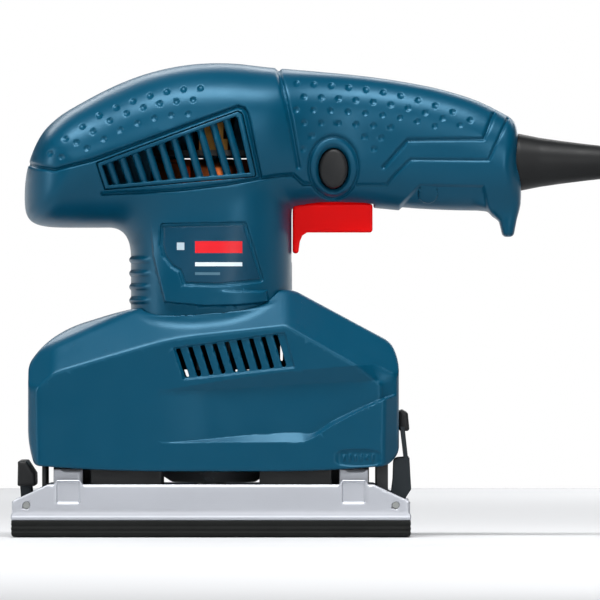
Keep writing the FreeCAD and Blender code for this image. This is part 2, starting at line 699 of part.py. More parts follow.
def pin_bore(shape):
    return shape.cut(rod(CLAMP_PIN_R + 0.05, (CLAMP_PIN_X, -60, CLAMP_PIN_Z),
                         (CLAMP_PIN_X, 60, CLAMP_PIN_Z)))


def clamp_jaw():
    """The toothed strip that holds the sheet down, inside the pin."""
    x0, x1 = CLAMP_PIN_X - 8.5, CLAMP_PIN_X - 3.6
    strip = box(x0, x1, -EAR_Y + 1.5, EAR_Y - 1.5, JAW_Z0, JAW_Z1)
    teeth = []
    pitch = 2 * TOE_HALF_W / 12
    for i in range(13):
        y = -TOE_HALF_W + i * pitch
        teeth.append(prism_xy([(x0 + 0.1, y - 1.3), (x0 - 1.1, y), (x0 + 0.1, y + 1.3)], JAW_Z0, JAW_Z1))
    return fuse([strip] + teeth)


def ear(side, corners):
    """One side cheek of a lever: a hub on the pin, a foot that carries the jaw, and an arm."""
    y0, y1 = side * EAR_Y - 1.5, side * EAR_Y + 1.5
    hub = rod(HUB_R, (CLAMP_PIN_X, y0, CLAMP_PIN_Z), (CLAMP_PIN_X, y1, CLAMP_PIN_Z))
    x = CLAMP_PIN_X
    foot = prism_xz([(x - 8.5, JAW_Z0), (x - 3.0, JAW_Z0), (x - 0.5, CLAMP_PIN_Z - HUB_R + 0.1),
                     (x - 2.0, CLAMP_PIN_Z + 2.2), (x - 8.5, JAW_Z1 + 0.6)], y0, y1)
    return fuse([hub, foot, prism_xz(corners, y0, y1)])


def front_clamp():
    """The short lever, at the nose end: two arms with a moulded grip bar across them."""
    x, z = CLAMP_PIN_X, CLAMP_PIN_Z
    corners = [(x - 2.4, z), (x + 2.4, z), (x + 3.2, 24.5), (x - 1.4, 24.5)]
    jaw = clamp_jaw()
    lever = pin_bore(fuse([ear(side, corners) for side in (-1, 1)] + [jaw]))
    grip = prism_xz([(80.3, 22.8, 1.0), (88.2, 22.8, 1.2), (88.0, 34.6, 2.4), (84.4, 34.6, 2.0),
                     (80.4, 28.4, 2.0)], -36.0, 36.0)
    sockets = [box(x - 6, x + 5, side * EAR_Y - 1.5, side * EAR_Y + 1.5, 20, 24.5) for side in (-1, 1)]
    return mirror_x(lever), mirror_x(grip.cut(group(sockets)))


def rear_clamp():
    """The tall lever, at the handle end: a pressed plate with side cheeks and a moulded cap."""
    x, z = CLAMP_PIN_X, CLAMP_PIN_Z
    corners = [(x - 2.4, z), (x + 2.6, z), (91.2, 21.5, 1.0), (90.4, 36.0), (83.3, 35.6, 2.5),
               (83.0, 26.0, 2.0)]
    blade = prism_xz([(89.5, 22.5, 0.4), (91.2, 22.5, 0.4), (88.2, 50.0), (86.3, 50.0)], -31.5, 31.5)
    ledge = box(83.4, 90.0, -30.0, 30.0, 25.2, 26.4)
    lever = fuse([ear(side, corners) for side in (-1, 1)] + [blade, ledge, clamp_jaw()])
    outline = [(85.5, 48.0, 0.5), (90.4, 48.0, 0.5), (89.4, 57.6, 2.2), (85.5, 57.6, 1.4)]
    cap = prism_xz(outline, -28.0, 28.0)
    tongue = blade.common(box(80, 95, -26, 26, 40, 50))
    lever = pin_bore(lever).cut(prism_xz(outline, -28.2, 28.2).cut(tongue))
    return lever, cap.cut(tongue)


# ---- trigger, button, switch --------------------------------------------------------------------
PLUNGER_X = 62.0


def trigger():
    w = TRIGGER_HALF_W
    paddle = prism_xz([
        (TRIGGER_X0, 129.0, 0.8),
        (TRIGGER_X0 + 2.2, 129.0, 0.8),
        (TRIGGER_X0 + 2.7, TRIGGER_BOTTOM, 4.5),
        (TRIGGER_X1, TRIGGER_BOTTOM, 1.4),
        (TRIGGER_X1, TRIGGER_TOP, 1.0),
        (TRIGGER_X0, TRIGGER_TOP, 1.6),
    ], -w, w)
    stem = box(TRIGGER_X0 + 1.5, TRIGGER_X1 - 1.5, -w + 0.5, w - 0.5, TRIGGER_TOP - 1, 156.5)
    return fuse([paddle, stem])


def switch_plunger():
    return rod(1.9, (PLUNGER_X, 0, 156.5), (PLUNGER_X, 0, 164.8))


def switch_body():
    body = box(46.0, 84.0, -8.0, 8.0, SWITCH_Z0, SWITCH_Z1)
    terminals = [box(84.0, 88.0, y - 1.6, y + 1.6, 170.0, 171.0) for y in (-4.0, 4.0)]
    body = fuse([body] + terminals)
    return body.cut(rod(2.05, (PLUNGER_X, 0, 160), (PLUNGER_X, 0, 170)))


def lock_button():
    """An oval button with a domed face, a collar behind the wall and a locking pin."""
    points = oval_points(BUTTON_HALF_X, BUTTON_HALF_Z, 2.0, 16)
    loop = smooth_loop([V(BUTTON_X + u, -24.0, BUTTON_Z + v) for u, v in points])
    cap = Part.Face(loop).extrude(V(0, 8.0, 0))
    pin = rod(2.4, (BUTTON_X, -16.0, BUTTON_Z), (BUTTON_X, -11.4, BUTTON_Z))
    return fuse([cap, pin])


# ---- mains lead ---------------------------------------------------------------------------------
SLEEVE_END_X = 191.0


def cord_sleeve():
    """The tapered rubber sleeve: its flange sits in the handle's end."""
    return turned_x([
        (131.5, CORD_R),
        (131.5, 14.8, 0.5),
        (136.3, 14.8, 0.5),
        (136.3, 13.2),
        (141.0, 13.2),
        (150.0, 11.4),
        (159.5, 9.8),
        (169.0, 8.7),
        (177.0, 7.8),
        (SLEEVE_END_X, 6.2, 0.8),
        (SLEEVE_END_X, CORD_R),
    ], LEAD_Z)


def tube(points, radius):
    """A round cord along straight runs joined by tangent arcs, and the arcs' radii."""
    pts = [V(*p) for p in points]
    edges, radii, start = [], [], pts[0]
    for i in range(1, len(pts) - 1):
        before, after = pts[i] - pts[i - 1], pts[i + 1] - pts[i]
        turn = before.getAngle(after)
        reach = 0.45 * min(before.Length, after.Length)
        radii.append(reach / math.tan(turn / 2))
        a = pts[i] - before.normalize() * reach
        b = pts[i] + after.normalize() * reach
        chord = (a + b) * 0.5 - pts[i]
        sag = radii[-1] / math.cos(turn / 2) - radii[-1]
        middle = pts[i] + chord.normalize() * sag
        edges.append(Part.LineSegment(start, a).toShape())
        edges.append(Part.Arc(a, middle, b).toShape())
        start = b
    edges.append(Part.LineSegment(start, pts[-1]).toShape())
    path = Part.Wire(edges)
    circle = Part.Wire([Part.Circle(pts[0], pts[1] - pts[0], radius).toShape()])
    solid = path.makePipeShell([circle], True, False)
    share = solid.Volume / (math.pi * radius ** 2 * path.Length)
    print("cord radii", [round(r, 1) for r in radii], "length", round(path.Length, 1),
          "volume share", round(share, 4))
    return solid


CORD_LEAD = [
    (SLEEVE_END_X, 0.0, LEAD_Z),
    (214.0, 0.0, LEAD_Z),
    (240.0, 1.0, 162.5),
    (261.0, 4.0, 142.0),
    (273.0, 8.0, 112.0),
    (278.0, 14.0, 80.0),
    (276.0, 23.0, 50.0),
    (264.0, 35.0, 27.0),
    (240.0, 41.0, 18.2),
]
TAIL_START = (240.0, -48.0, 18.2)
TAIL_END = (278.0, -48.0, 18.2)


def cord_coil():
    """The outer shape of the wound lead, three turns wide and three high."""
    half = 1.5 * CORD_D
    z0, z1 = TIE_T, TIE_T + 3 * CORD_D
    return turned([(COIL_R - half, z0, 3), (COIL_R + half, z0, 3), (COIL_R + half, z1, 3),
                   (COIL_R - half, z1, 3)], *COIL_CENTRE)


def plug():
    """A moulded round-pin plug without earth, lying with its pins along +X, and its two pins."""
    x, y, z = TAIL_END
    body = turned_x([(x, 0), (x, 5.4, 1.0), (x + 9, 6.8), (x + 19, 14.5, 5.0), (x + 30, 17.6, 4.0),
                     (x + 44, 17.6, 1.2), (x + 44, 0)], z, y)
    flats = box(x - 5, x + 50, y - 14.0, y + 14.0, z - 20, z + 20)
    body = body.common(flats)
    face = x + 44
    pins = []
    for side in (-1, 1):
        pins.append(turned_x([(face, 0), (face, 2.4), (face + 19, 2.4, 1.2), (face + 19, 0)],
                             z + side * 9.5, y))
    return body, group(pins)


# ---- everything, by node ------------------------------------------------------------------------
def housing_screws():
    return group([screw((x, SCREW_WELL, z), (0, -1, 0), 20.0) for x, z in SCREWS])


def cable_clamp():
    """A bar over the lead, with a screw on either side of it."""
    x0, x1 = CLAMP_X0, CLAMP_X1
    z0 = LEAD_Z + CORD_R
    bar = box(x0, x1, -11.5, 11.5, z0, z0 + 4.0)
    screws = []
    for side in (-1, 1):
        place = ((x0 + x1) / 2, side * 8.0, z0 + 4.0)
        bar = bar.cut(rod(SCREW_R + 0.3, (place[0], place[1], z0 - 1), (place[0], place[1], z0 + 5)))
        screws.append(screw(place, (0, 0, -1), 18.0, head_r=2.8))
    return bar, group(screws)


def nameplates():
    """Thin plates that follow the neck's sides."""
    outline = [(-21.8, 141.0, 3), (15.0, 141.3, 3), (24.0, 115.2, 4), (3.6, 113.4, 8),
               (-13.4, 113.8, 4), (-15.2, 120.0, 3), (-20.2, 123.6, 3), (-22.8, 131.6, 4)]
    skin = neck_column(-0.8, 110.0, 145.0).cut(neck_column(0.0, 105.0, 150.0))
    plate = skin.common(prism_xz(outline, -50.0, 0.0))
    return group([plate, mirror_y(plate)])


def both_ends(shape):
    return group([shape, mirror_x(shape)])


def build():
    nodes = {}
    nodes["housing_left"], nodes["housing_right"] = upper_housing()
    nodes["louvre_left"], nodes["louvre_right"] = grilles()
    nodes["housing_screws"] = housing_screws()
    nodes["nameplates"] = nameplates()
    nodes["base_hood"] = base_hood()
    nodes["bearing_bracket"] = bearing_bracket()
    nodes["bracket_screws"] = group([screw((x, y, BRACKET_Z0), (0, 0, 1), 14.0)
                                     for x, y in BRACKET_SCREWS])
    nodes["flex_feet"] = group([flex_foot(x, y) for x, y in FOOT_PLACES])

    nodes["stator_core"] = stator_core()
    nodes["field_coils"] = field_coils()
    brush = brush_parts()
    nodes["brush_plate"], nodes["brush_holders"], nodes["carbon_brushes"], nodes["brush_springs"] = brush
    top = ball_bearing(TOP_BEARING_R, TOP_BEARING_BORE_R, TOP_BEARING_Z, TOP_BEARING_W, MOTOR_X)
    low = ball_bearing(BEARING_R, BEARING_BORE_R, LOW_BEARING_Z, BEARING_W, MOTOR_X)
    pad = ball_bearing(BEARING_R, BEARING_BORE_R, PAD_BEARING_Z, BEARING_W)
    nodes["top_bearing_outer"], nodes["top_bearing_inner"] = top
    nodes["motor_bearing_outer"], nodes["motor_bearing_inner"] = low
    nodes["pad_bearing_outer"], nodes["pad_bearing_inner"] = pad

    nodes["armature_shaft"] = shaft()
    nodes["armature_core"] = armature_core()
    nodes["armature_windings"] = armature_windings()
    nodes["commutator"] = commutator()
    nodes["cooling_fan"] = fan()
    nodes["eccentric_counterweight"] = counterweight()

    nodes["base_plate"] = base_plate()
    nodes["backing_pad"] = backing_pad()
    nodes["pad_screws"] = group([screw((x, y, 4.5), (0, 0, 1), 7.5) for x, y in PAD_SCREWS])
    bearing_top = PAD_BEARING_Z + BEARING_W
    nodes["bearing_retainer"] = ring(BEARING_R, 11.2, bearing_top, bearing_top + 0.9)
    nodes["clamp_pins"] = both_ends(clamp_pin())
    nodes["clamp_springs"] = both_ends(clamp_spring())
    nodes["front_clamp_lever"], nodes["front_clamp_grip"] = front_clamp()
    nodes["rear_clamp_lever"], nodes["rear_clamp_cap"] = rear_clamp()

    nodes["trigger"] = trigger()
    nodes["switch_plunger"] = switch_plunger()
    nodes["trigger_spring"] = helix_spring(0.4, 3.2, (PLUNGER_X, 0, 156.5), (0, 0, 1), 6.7, 4)
    nodes["switch_body"] = switch_body()
    nodes["lock_button"] = lock_button()
    nodes["button_spring"] = helix_spring(0.3, 3.2, (BUTTON_X, -16.0, BUTTON_Z), (0, 1, 0), 8.0, 5)
    nodes["suppressor_capacitor"] = box(92.0, 104.0, -6.0, 6.0, 182.0, 196.0)

    nodes["cord_sleeve"] = cord_sleeve()
    nodes["cable_clamp"], nodes["cable_clamp_screws"] = cable_clamp()
    nodes["lead_inside"] = rod(CORD_R, (104.0, 0, LEAD_Z), (SLEEVE_END_X, 0, LEAD_Z))
    nodes["lead_run"] = tube(CORD_LEAD, CORD_R)
    nodes["lead_coil"] = cord_coil()
    nodes["lead_tail"] = rod(CORD_R, TAIL_START, TAIL_END)
    nodes["plug_body"], nodes["plug_pins"] = plug()
    return nodes


def export(nodes):
    os.makedirs("parts", exist_ok=True)
    for name, shape in nodes.items():
        bad = [s for s in shape.Solids if not s.isValid() or s.Volume <= 0]
        print(f"{name:26s} solids {len(shape.Solids):3d} volume {shape.Volume:10.1f} bad {len(bad)}")
        shape.exportStep(f"parts/{name}.step")


export(build())
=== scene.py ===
import math

import bpy
import numpy as np
import openvdb as vdb
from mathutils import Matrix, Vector


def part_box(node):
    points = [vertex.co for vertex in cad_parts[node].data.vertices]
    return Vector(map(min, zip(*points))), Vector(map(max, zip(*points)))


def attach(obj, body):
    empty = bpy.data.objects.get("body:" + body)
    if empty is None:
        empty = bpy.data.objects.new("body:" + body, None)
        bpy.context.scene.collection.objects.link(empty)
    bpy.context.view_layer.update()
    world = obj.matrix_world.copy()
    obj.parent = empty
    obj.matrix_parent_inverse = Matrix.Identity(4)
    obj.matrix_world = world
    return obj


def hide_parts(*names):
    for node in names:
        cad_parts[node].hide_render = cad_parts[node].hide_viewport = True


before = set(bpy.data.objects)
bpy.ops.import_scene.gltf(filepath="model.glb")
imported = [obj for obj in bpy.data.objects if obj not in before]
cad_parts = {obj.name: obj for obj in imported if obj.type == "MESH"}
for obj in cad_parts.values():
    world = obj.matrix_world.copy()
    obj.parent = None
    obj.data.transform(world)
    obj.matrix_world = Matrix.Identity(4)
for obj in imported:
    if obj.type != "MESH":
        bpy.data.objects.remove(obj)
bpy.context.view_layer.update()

MM = 0.001
FAR = 99.0  # a field value well outside everything


# ---- fields: functions of x, y, z in millimetres, negative inside the solid ---------------------
def smax(a, b, k):
    """The larger of two fields, with the edge between them rounded over about k."""
    h = np.maximum(k - np.abs(a - b), 0.0) / k
    return np.maximum(a, b) + h * h * k * 0.25


def smin(a, b, k):
    """The smaller of two fields, blended over about k."""
    return -smax(-a, -b, k)


def ramp(value, start, end):
    """0 before start, 1 after end, smooth between them."""
    t = np.clip((value - start) / (end - start), 0.0, 1.0)
    return t * t * (3 - 2 * t)


def lerp(a, b, t):
    """From a to b as t goes from 0 to 1."""
    return a + (b - a) * t


def to_segment(u, v, a, b):
    """Distance to the straight line from a to b in a plane."""
    eu, ev = b[0] - a[0], b[1] - a[1]
    t = np.clip(((u - a[0]) * eu + (v - a[1]) * ev) / (eu * eu + ev * ev), 0.0, 1.0)
    return np.hypot(u - a[0] - eu * t, v - a[1] - ev * t)


def path(u, v, points):
    """Distance to an open path in a plane."""
    near = to_segment(u, v, points[0], points[1])
    for a, b in zip(points[1:], points[2:]):
        near = np.minimum(near, to_segment(u, v, a, b))
    return near


def polygon(u, v, corners, radius=0.0):
    """Signed distance to a closed outline in a plane, grown by radius with round corners."""
    near = np.full(np.broadcast(u, v).shape, 1e6, np.float32)
    inside = np.zeros(near.shape, bool)
    for (au, av), (bu, bv) in zip(corners, corners[1:] + corners[:1]):
        near = np.minimum(near, to_segment(u, v, (au, av), (bu, bv)))
        if av != bv:
            inside ^= ((av > v) != (bv > v)) & (u < au + (v - av) * (bu - au) / (bv - av))
    return np.where(inside, -near, near) - radius


def block(x, y, z, lows, highs, radius=0.0):
    """A box with rounded edges."""
    parts = [np.maximum(a + radius - p, p - (b - radius)) for p, a, b in zip((x, y, z), lows, highs)]
    outside = np.sqrt(sum(np.maximum(p, 0.0) ** 2 for p in parts))
    inner = np.minimum(np.maximum(np.maximum(parts[0], parts[1]), parts[2]), 0.0)
    return outside + inner - radius


def oval(u, v, centre, half_u, half_v, power=2.0):
    """About the distance to an oval or a rounded rectangle in a plane."""
    r = np.abs((u - centre[0]) / half_u) ** power + np.abs((v - centre[1]) / half_v) ** power
    return (r ** (1 / power) - 1) * min(half_u, half_v)


def curve(*knots):
    """A smooth function through (position, value) knots."""
    us, vs = np.array(knots, float).T
    slopes = np.gradient(vs, us)
    fine = np.linspace(us[0], us[-1], 1200)
    i = np.clip(np.searchsorted(us, fine, side="right") - 1, 0, len(us) - 2)
    span = us[i + 1] - us[i]
    t = (fine - us[i]) / span
    values = (vs[i] * (1 + 2 * t) * (1 - t) ** 2 + slopes[i] * span * t * (1 - t) ** 2
              + vs[i + 1] * t * t * (3 - 2 * t) + slopes[i + 1] * span * t * t * (t - 1))
    kernel = np.hanning(41)
    padded = np.pad(values, 20, mode="reflect", reflect_type="odd")
    values = np.convolve(padded, kernel / kernel.sum(), mode="valid")
    return lambda u: np.interp(u, fine, values).astype(np.float32)


class Relief:
    """A side view of how deep each spot is cut, stored on a fine grid and read back smoothly."""

    def __init__(self, depth, x_range, z_range, step=0.2):
        self.x0, self.z0, self.step = x_range[0], z_range[0], step
        xs = np.arange(x_range[0], x_range[1], step, dtype=np.float32)
        zs = np.arange(z_range[0], z_range[1], step, dtype=np.float32)
        self.values = depth(xs[:, None], zs[None, :]).astype(np.float32)

    def __call__(self, x, z):
        u, v = (x - self.x0) / self.step, (z - self.z0) / self.step
        u = np.clip(u, 0, self.values.shape[0] - 1.001)
        v = np.clip(v, 0, self.values.shape[1] - 1.001)
        i, j = u.astype(np.int32), v.astype(np.int32)
        fu, fv = u - i, v - j
        g = self.values
        near = g[i, j] * (1 - fu) + g[i + 1, j] * fu
        far = g[i, j + 1] * (1 - fu) + g[i + 1, j + 1] * fu
        return near * (1 - fv) + far * fv


PROBE = 0.12  # half the spacing of the samples that give a field's gradient
MOVES = 2     # times that a mesh's points are moved onto the surface


def solid(name, field, lows, highs, step=0.6, adapt=0.0):
    """A mesh of the surface where field is 0, with its points moved onto it and its normals."""
    axes = [np.arange(a - 1.5 * step, b + 2.5 * step, step, dtype=np.float32)
            for a, b in zip(lows, highs)]
    values = field(axes[0][:, None, None], axes[1][None, :, None], axes[2][None, None, :])
    values = np.broadcast_to(values, [len(a) for a in axes])
    grid = vdb.FloatGrid()
    grid.background = 3 * step
    grid.copyFromArray(np.ascontiguousarray(np.clip(values, -3 * step, 3 * step), dtype=np.float32))
    points, triangles, quads = grid.convertToPolygons(0.0, adapt)
    points = points.astype(np.float64) * step + [a[0] for a in axes]

    def gradient(p):
        parts = []
        for k in range(3):
            move = np.zeros(3)
            move[k] = PROBE
            parts.append(field(*(p + move).T) - field(*(p - move).T))
        return np.stack(parts, 1) / (2 * PROBE)

    for _ in range(MOVES):
        slope = gradient(points)
        length2 = np.maximum((slope * slope).sum(1), 0.04)
        shift = -(field(*points.T) / length2)[:, None] * slope
        size = np.linalg.norm(shift, axis=1, keepdims=True)
        points = points + shift * np.minimum(1.0, 0.5 * step / np.maximum(size, 1e-9))
    normals = gradient(points)
    normals /= np.maximum(np.linalg.norm(normals, axis=1, keepdims=True), 1e-9)
    faces = [tuple(f) for group in (quads, triangles) for f in group[:, ::-1].tolist()]
    mesh = bpy.data.meshes.new(name)
    mesh.from_pydata((points * MM).tolist(), [], faces)
    mesh.polygons.foreach_set("use_smooth", [True] * len(mesh.polygons))
    mesh.update()
    outward = np.zeros(len(mesh.polygons) * 3)
    mesh.polygons.foreach_get("normal", outward)
    first = [f[0] for f in faces]
    if (outward.reshape(-1, 3) * normals[first]).sum() < 0:
        mesh.flip_normals()
    mesh.normals_split_custom_set_from_vertices(normals.tolist())
    made = bpy.data.objects.new(name, mesh)
    bpy.context.scene.collection.objects.link(made)
    return made


# ---- upper housing ------------------------------------------------------------------------------
body_top = curve((-100, 155), (-90, 166), (-84.9, 174.0), (-78.6, 183.6), (-69.9, 191.6), (-59.4, 198.0),
                 (-47.3, 204.4), (-35, 209.6), (-22, 213.4), (-9, 215.6), (8.5, 216.1), (25.8, 214.3),
                 (50, 212.2), (68.5, 210.4), (87, 207.8), (105.7, 204.0), (124.2, 197.9), (133.5, 193.2),
                 (150, 184))
body_bottom = curve((-100, 141.0), (-40, 141.0), (0, 142.0), (30, 148.0), (50, 151.0), (70, 150.2),
                    (96, 148.0), (126, 147.2), (150, 148))
body_width = curve((-100, 38), (-60, 38), (6, 38.4), (27, 34), (44, 27), (62, 22.4), (90, 20.6),
                   (150, 20))
BODY_XS = np.arange(-100.0, 150.0, 1.0)
BODY_LEAN = 1 / np.sqrt(1 + np.gradient(body_top(BODY_XS)) ** 2)
SIDE_POWER, SECTION_POWER = 5, 2.35
NOSE_ROUND, END_ROUND = 27.0, 9.0
NECK_X, NECK_Y = 36.9, 35.5
NOSE_X, HANDLE_X = -85.6, 141.2
LEAD_Z = 170.8
WALL = 2.6


def body_field(x, y, z):
    """The nose and handle: a superellipse in plan and section between their side-view edges."""
    lean = np.interp(x, BODY_XS, BODY_LEAN)
    to_handle = ramp(x, 5.0, 60.0)
    blunt = ramp(x, -45.0, -84.0)
    top_round = lerp(lerp(33.0, 25.0, to_handle), 15.0, blunt)
    bottom_round = lerp(lerp(46.0, 25.0, to_handle), 20.0, blunt)
    top = np.maximum(1 - (body_top(x) - z) * lean / top_round, 0.0)
    bottom = np.maximum(1 - (z - body_bottom(x)) / bottom_round, 0.0)
    nose = np.maximum(1 - (x - NOSE_X) / NOSE_ROUND, 0.0)
    end = np.maximum(1 - (HANDLE_X - x) / END_ROUND, 0.0)
    edge = sum(part ** SIDE_POWER for part in (top, bottom, nose, end)) ** (1 / SIDE_POWER)
    across = np.abs(y) / body_width(x)
    level = (edge ** SECTION_POWER + across ** SECTION_POWER) ** (1 / SECTION_POWER) - 1
    return level * lerp(33.0, 23.0, to_handle)


def neck_field(x, y, grow=0.0):
    """The upright neck, without ends."""
    return oval(x, y, (0.0, 0.0), NECK_X + grow, NECK_Y + grow, 2.5)


def upper_base(x, y, z):
    """The plain outside of the housing, without its relief."""
    neck = np.maximum(neck_field(x, y), z - 178.0)
    joined = smin(body_field(x, y, z), neck, lerp(10.0, 2.5, ramp(x, -5.0, 28.0)))
    prong_line = polygon(x, z, [(124.0, 165.0), (124.0, 153.0), (130.0, 149.6), (133.6, 144.6),
                                (135.0, 138.8), (136.4, 138.8), (138.9, 152.0), (138.9, 165.0)], 2.1)
    prong = smax(prong_line, np.abs(y) - 12.5, 4.0)
    return smin(joined, prong, 5.0)


GRILLE = [(-52.2, 170.2), (12.2, 193.8), (14.2, 192.6), (20.4, 164.8), (19.6, 164.0), (-48.4, 158.2)]
GRILLE_CUT = [(-49.6, 169.0), (11.0, 191.3), (12.0, 190.6), (17.6, 166.0), (17.0, 165.8), (-46.6, 160.2)]
SEAM_LOW = [(-49.5, 156.2), (-14.0, 158.0), (8.0, 160.6), (22.3, 163.3), (31.4, 164.6), (37.4, 165.0),
            (42.0, 160.8), (45.5, 160.8)]
SEAM_REAR = [(66.2, 160.4), (80.0, 160.4), (83.3, 164.7), (91.0, 172.0), (126.6, 171.6), (135.4, 190.6)]
NOSE_LINE = [(-88.0, 171.2), (-77.8, 168.3), (-71.0, 167.2), (-53.9, 171.6), (12.2, 195.8),
             (15.0, 195.0), (16.4, 192.6), (22.6, 163.4)]
BODY_LINE = [(30.6, 213.5), (35.9, 190.6), (39.8, 168.8)]
GRIP_STEP = [(78.7, 168.6), (89.6, 180.8), (124.4, 181.2), (128.8, 192.5)]
FINGER = [(85.5, 140.0), (86.5, 151.0), (95.2, 160.4), (124.4, 159.8), (126.4, 150.0), (130.0, 140.0)]
BUTTON_RING = (55.8, 168.4)
BUTTON_HOLE = (55.7, 167.8)
LABEL_BLOCK = [(-27.8, 146.0), (-26.5, 127.9), (-21.2, 106.9), (-3.6, 105.2), (12.0, 105.4),
               (26.2, 106.9), (24.0, 120.0), (19.0, 146.0)]
LABEL = [(-21.6, 141.2), (14.8, 141.8), (22.3, 117.4), (4.1, 115.4), (-11.6, 115.9), (-13.6, 121.6),
         (-17.4, 123.9), (-20.4, 127.8), (-21.8, 133.0)]

grip_row = curve((30, 206.9), (39, 206.6), (62.8, 204.8), (86.5, 201.1), (102.4, 196.6), (118.3, 189.9),
                 (126, 185.5))
nose_rows = [
    (curve((-75, 171), (-68.2, 172.9), (-56.6, 176.9), (-41.4, 185.2), (-26.4, 190.5), (-5, 193.2)),
     [-68.2] + [-56.6 + 7.7 * i for i in range(7)]),
    (curve((-80, 173), (-73.3, 174.7), (-61.4, 179.5), (-47.3, 188.8), (-31.9, 195.2), (-2, 199.6)),
     [-73.3] + [-61.4 + 7.6 * i for i in range(8)]),
    (curve((-75, 175), (-66.4, 181.1), (-52.3, 191.1), (-36.9, 197.9), (-21.4, 202.5), (0, 204.8)),
     [-66.4 + 7.7 * i for i in range(9)]),
]
# (row below the top one, first position, count) of the handle's dimples
GRIP_ROWS = [(0, 39.0, 11), (1, 42.3, 10), (2, 38.7, 9), (3, 42.3, 6), (4, 46.0, 1), (4, 69.8, 2),
             (5, 41.9, 1), (5, 74.2, 1)]
DIMPLE_PITCH, DIMPLE_R, DIMPLE_DEPTH = 7.93, 1.6, 0.6
# (line, half-width, depth) of each groove in the sides
GROOVES = [(NOSE_LINE, 0.75, 1.5), (SEAM_LOW, 0.7, 1.2), (SEAM_REAR, 0.6, 0.8), (BODY_LINE, 1.0, 1.3),
           (GRIP_STEP, 0.8, 1.1)]


def dimple_places():
    places = []
    for line, xs in nose_rows:
        places += [(x, float(line(x))) for x in xs]
    for row, first, count in GRIP_ROWS:
        for i in range(count):
            x = first + DIMPLE_PITCH * i
            places.append((x, float(grip_row(x)) - row * (6.0 - 0.02 * (x - 40))))
    return places


def groove(distance, half, depth):
    """The depth of a soft groove at a distance from its line."""
    return depth * np.exp(-(distance / half) ** 2)


def side_depth(x, z):
    """How deep the housing's sides are cut, seen from the side."""
    depth = 0.0
    for outline, half, deep in GROOVES:
        depth = np.maximum(depth, groove(path(x, z, outline), half, deep))
    depth = depth + 1.4 * ramp(-polygon(x, z, FINGER), -0.8, 1.0)
    ring = oval(x, z, BUTTON_RING, 11.2, 14.0)
    depth = np.maximum(depth * ramp(ring, -0.6, 0.4), groove(ring, 0.7, 1.1))
    depth = depth + 1.5 * ramp(-oval(x, z, BUTTON_HOLE, 8.0, 11.2), -0.4, 1.6)
    for px, pz in dimple_places():
        near = np.hypot(x - px, z - pz)
        depth = depth + DIMPLE_DEPTH * np.clip(1 - (near / DIMPLE_R) ** 2, 0.0, 1.0) ** 1.3
    block_in = -polygon(x, z, LABEL_BLOCK)
    proud = 2.0 * ramp(block_in, -0.4, 0.5) * ramp(z, 147.0, 108.0) * ramp(x, 27.0, -5.0)
    proud = np.where(z < 112, np.maximum(proud, 1.7 * ramp(block_in, -0.4, 0.5)), proud)
    label_in = -polygon(x, z, LABEL, 1.6)
    depth = depth - proud + 0.9 * ramp(label_in, -0.3, 0.5)
    ribs = 0.8 * np.maximum(np.sin((z - 106.0) * 2 * np.pi / 6.2), 0.0)
    ribs = ribs * ramp(x, -27.0, -32.0) * ramp(z, 104.0, 106.0) * ramp(z, 131.0, 127.0)
    return depth - ribs


side_relief = Relief(side_depth, (-95.0, 150.0), (90.0, 225.0))


def upper_outside(x, y, z):
    return upper_base(x, y, z) + side_relief(x, z)


def upper_shell(x, y, z):
    outside = smax(upper_outside(x, y, z), 97.0 - z, 0.8)
    shell = smax(outside, -(upper_base(x, y, z) + WALL), 0.4)
    opening = np.maximum(polygon(x, z, GRILLE, 0.2), 18.0 - np.abs(y))
    shell = smax(shell, -opening, 0.5)
    trigger_slot = block(x, y, z, (36.8, -9.5, 125.0), (74.1, 9.5, 161.0), 0.8)
    shell = smax(shell, -trigger_slot, 0.8)
    bush = np.maximum(np.hypot(y, z - LEAD_Z) - 13.6, 125.0 - x)
    flange = np.maximum(np.hypot(y, z - LEAD_Z) - 15.3, np.abs(x - 133.8) - 2.8)
    shell = smax(shell, -np.minimum(bush, flange), 0.5)
    hole = np.maximum(oval(x, z, BUTTON_HOLE, 6.85, 9.35), y + 10.0)
    return smax(shell, -hole, 0.5)


COIL_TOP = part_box("field_coils")[1][2] / MM
AXIS_X = 1.0  # the motor's axis is at this x, with y 0
WEB_Y = -7.5
ROOT = 1.0    # how far a web or post runs into the wall


def motor_web(x, y, z):
    """A thin web across the housing beside its middle, cut out round the motor."""
    web = np.maximum(upper_base(x, y, z) + ROOT, np.abs(y - WEB_Y) - 1.0)
    out = np.abs(x - AXIS_X)
    near = np.hypot(x - AXIS_X, y)
    stator = np.maximum(out - 31.3, z - 158.5)
    coils = np.maximum(out - 28.2, z - COIL_TOP + 0.9)
    windings = np.maximum(near - 18.6, z - COIL_TOP - 0.6)
    commutator = np.maximum(near - 13.3, np.abs(z - 176.4) - 2.2)
    bearing = np.maximum(near - 11.5, np.abs(z - 191.0) - 15.0)
    switch = block(x, y, z, (35.0, -20.0, 125.0), (160.0, 20.0, 190.0), 1.0)
    for room in (stator, coils, windings, commutator, bearing, switch):
        web = np.maximum(web, -room)
    return web


SCREW_SPOTS = [(-70.0, 152.0), (-50.0, 188.0), (34.0, 201.0), (99.0, 156.5), (124.0, 188.0)]


POST_R, HEAD_R, HEAD_Y, SCREW_R = 4.5, 3.9, 9.0, 1.9
PARTING = 0.06  # each half stops this far from the middle


def screw_bosses(x, y, z):
    """Round posts from wall to wall, for the screws."""
    post = FAR
    for sx, sz in SCREW_SPOTS:
        post = np.minimum(post, np.hypot(x - sx, z - sz) - POST_R)
    return np.maximum(post, upper_base(x, y, z) + ROOT)


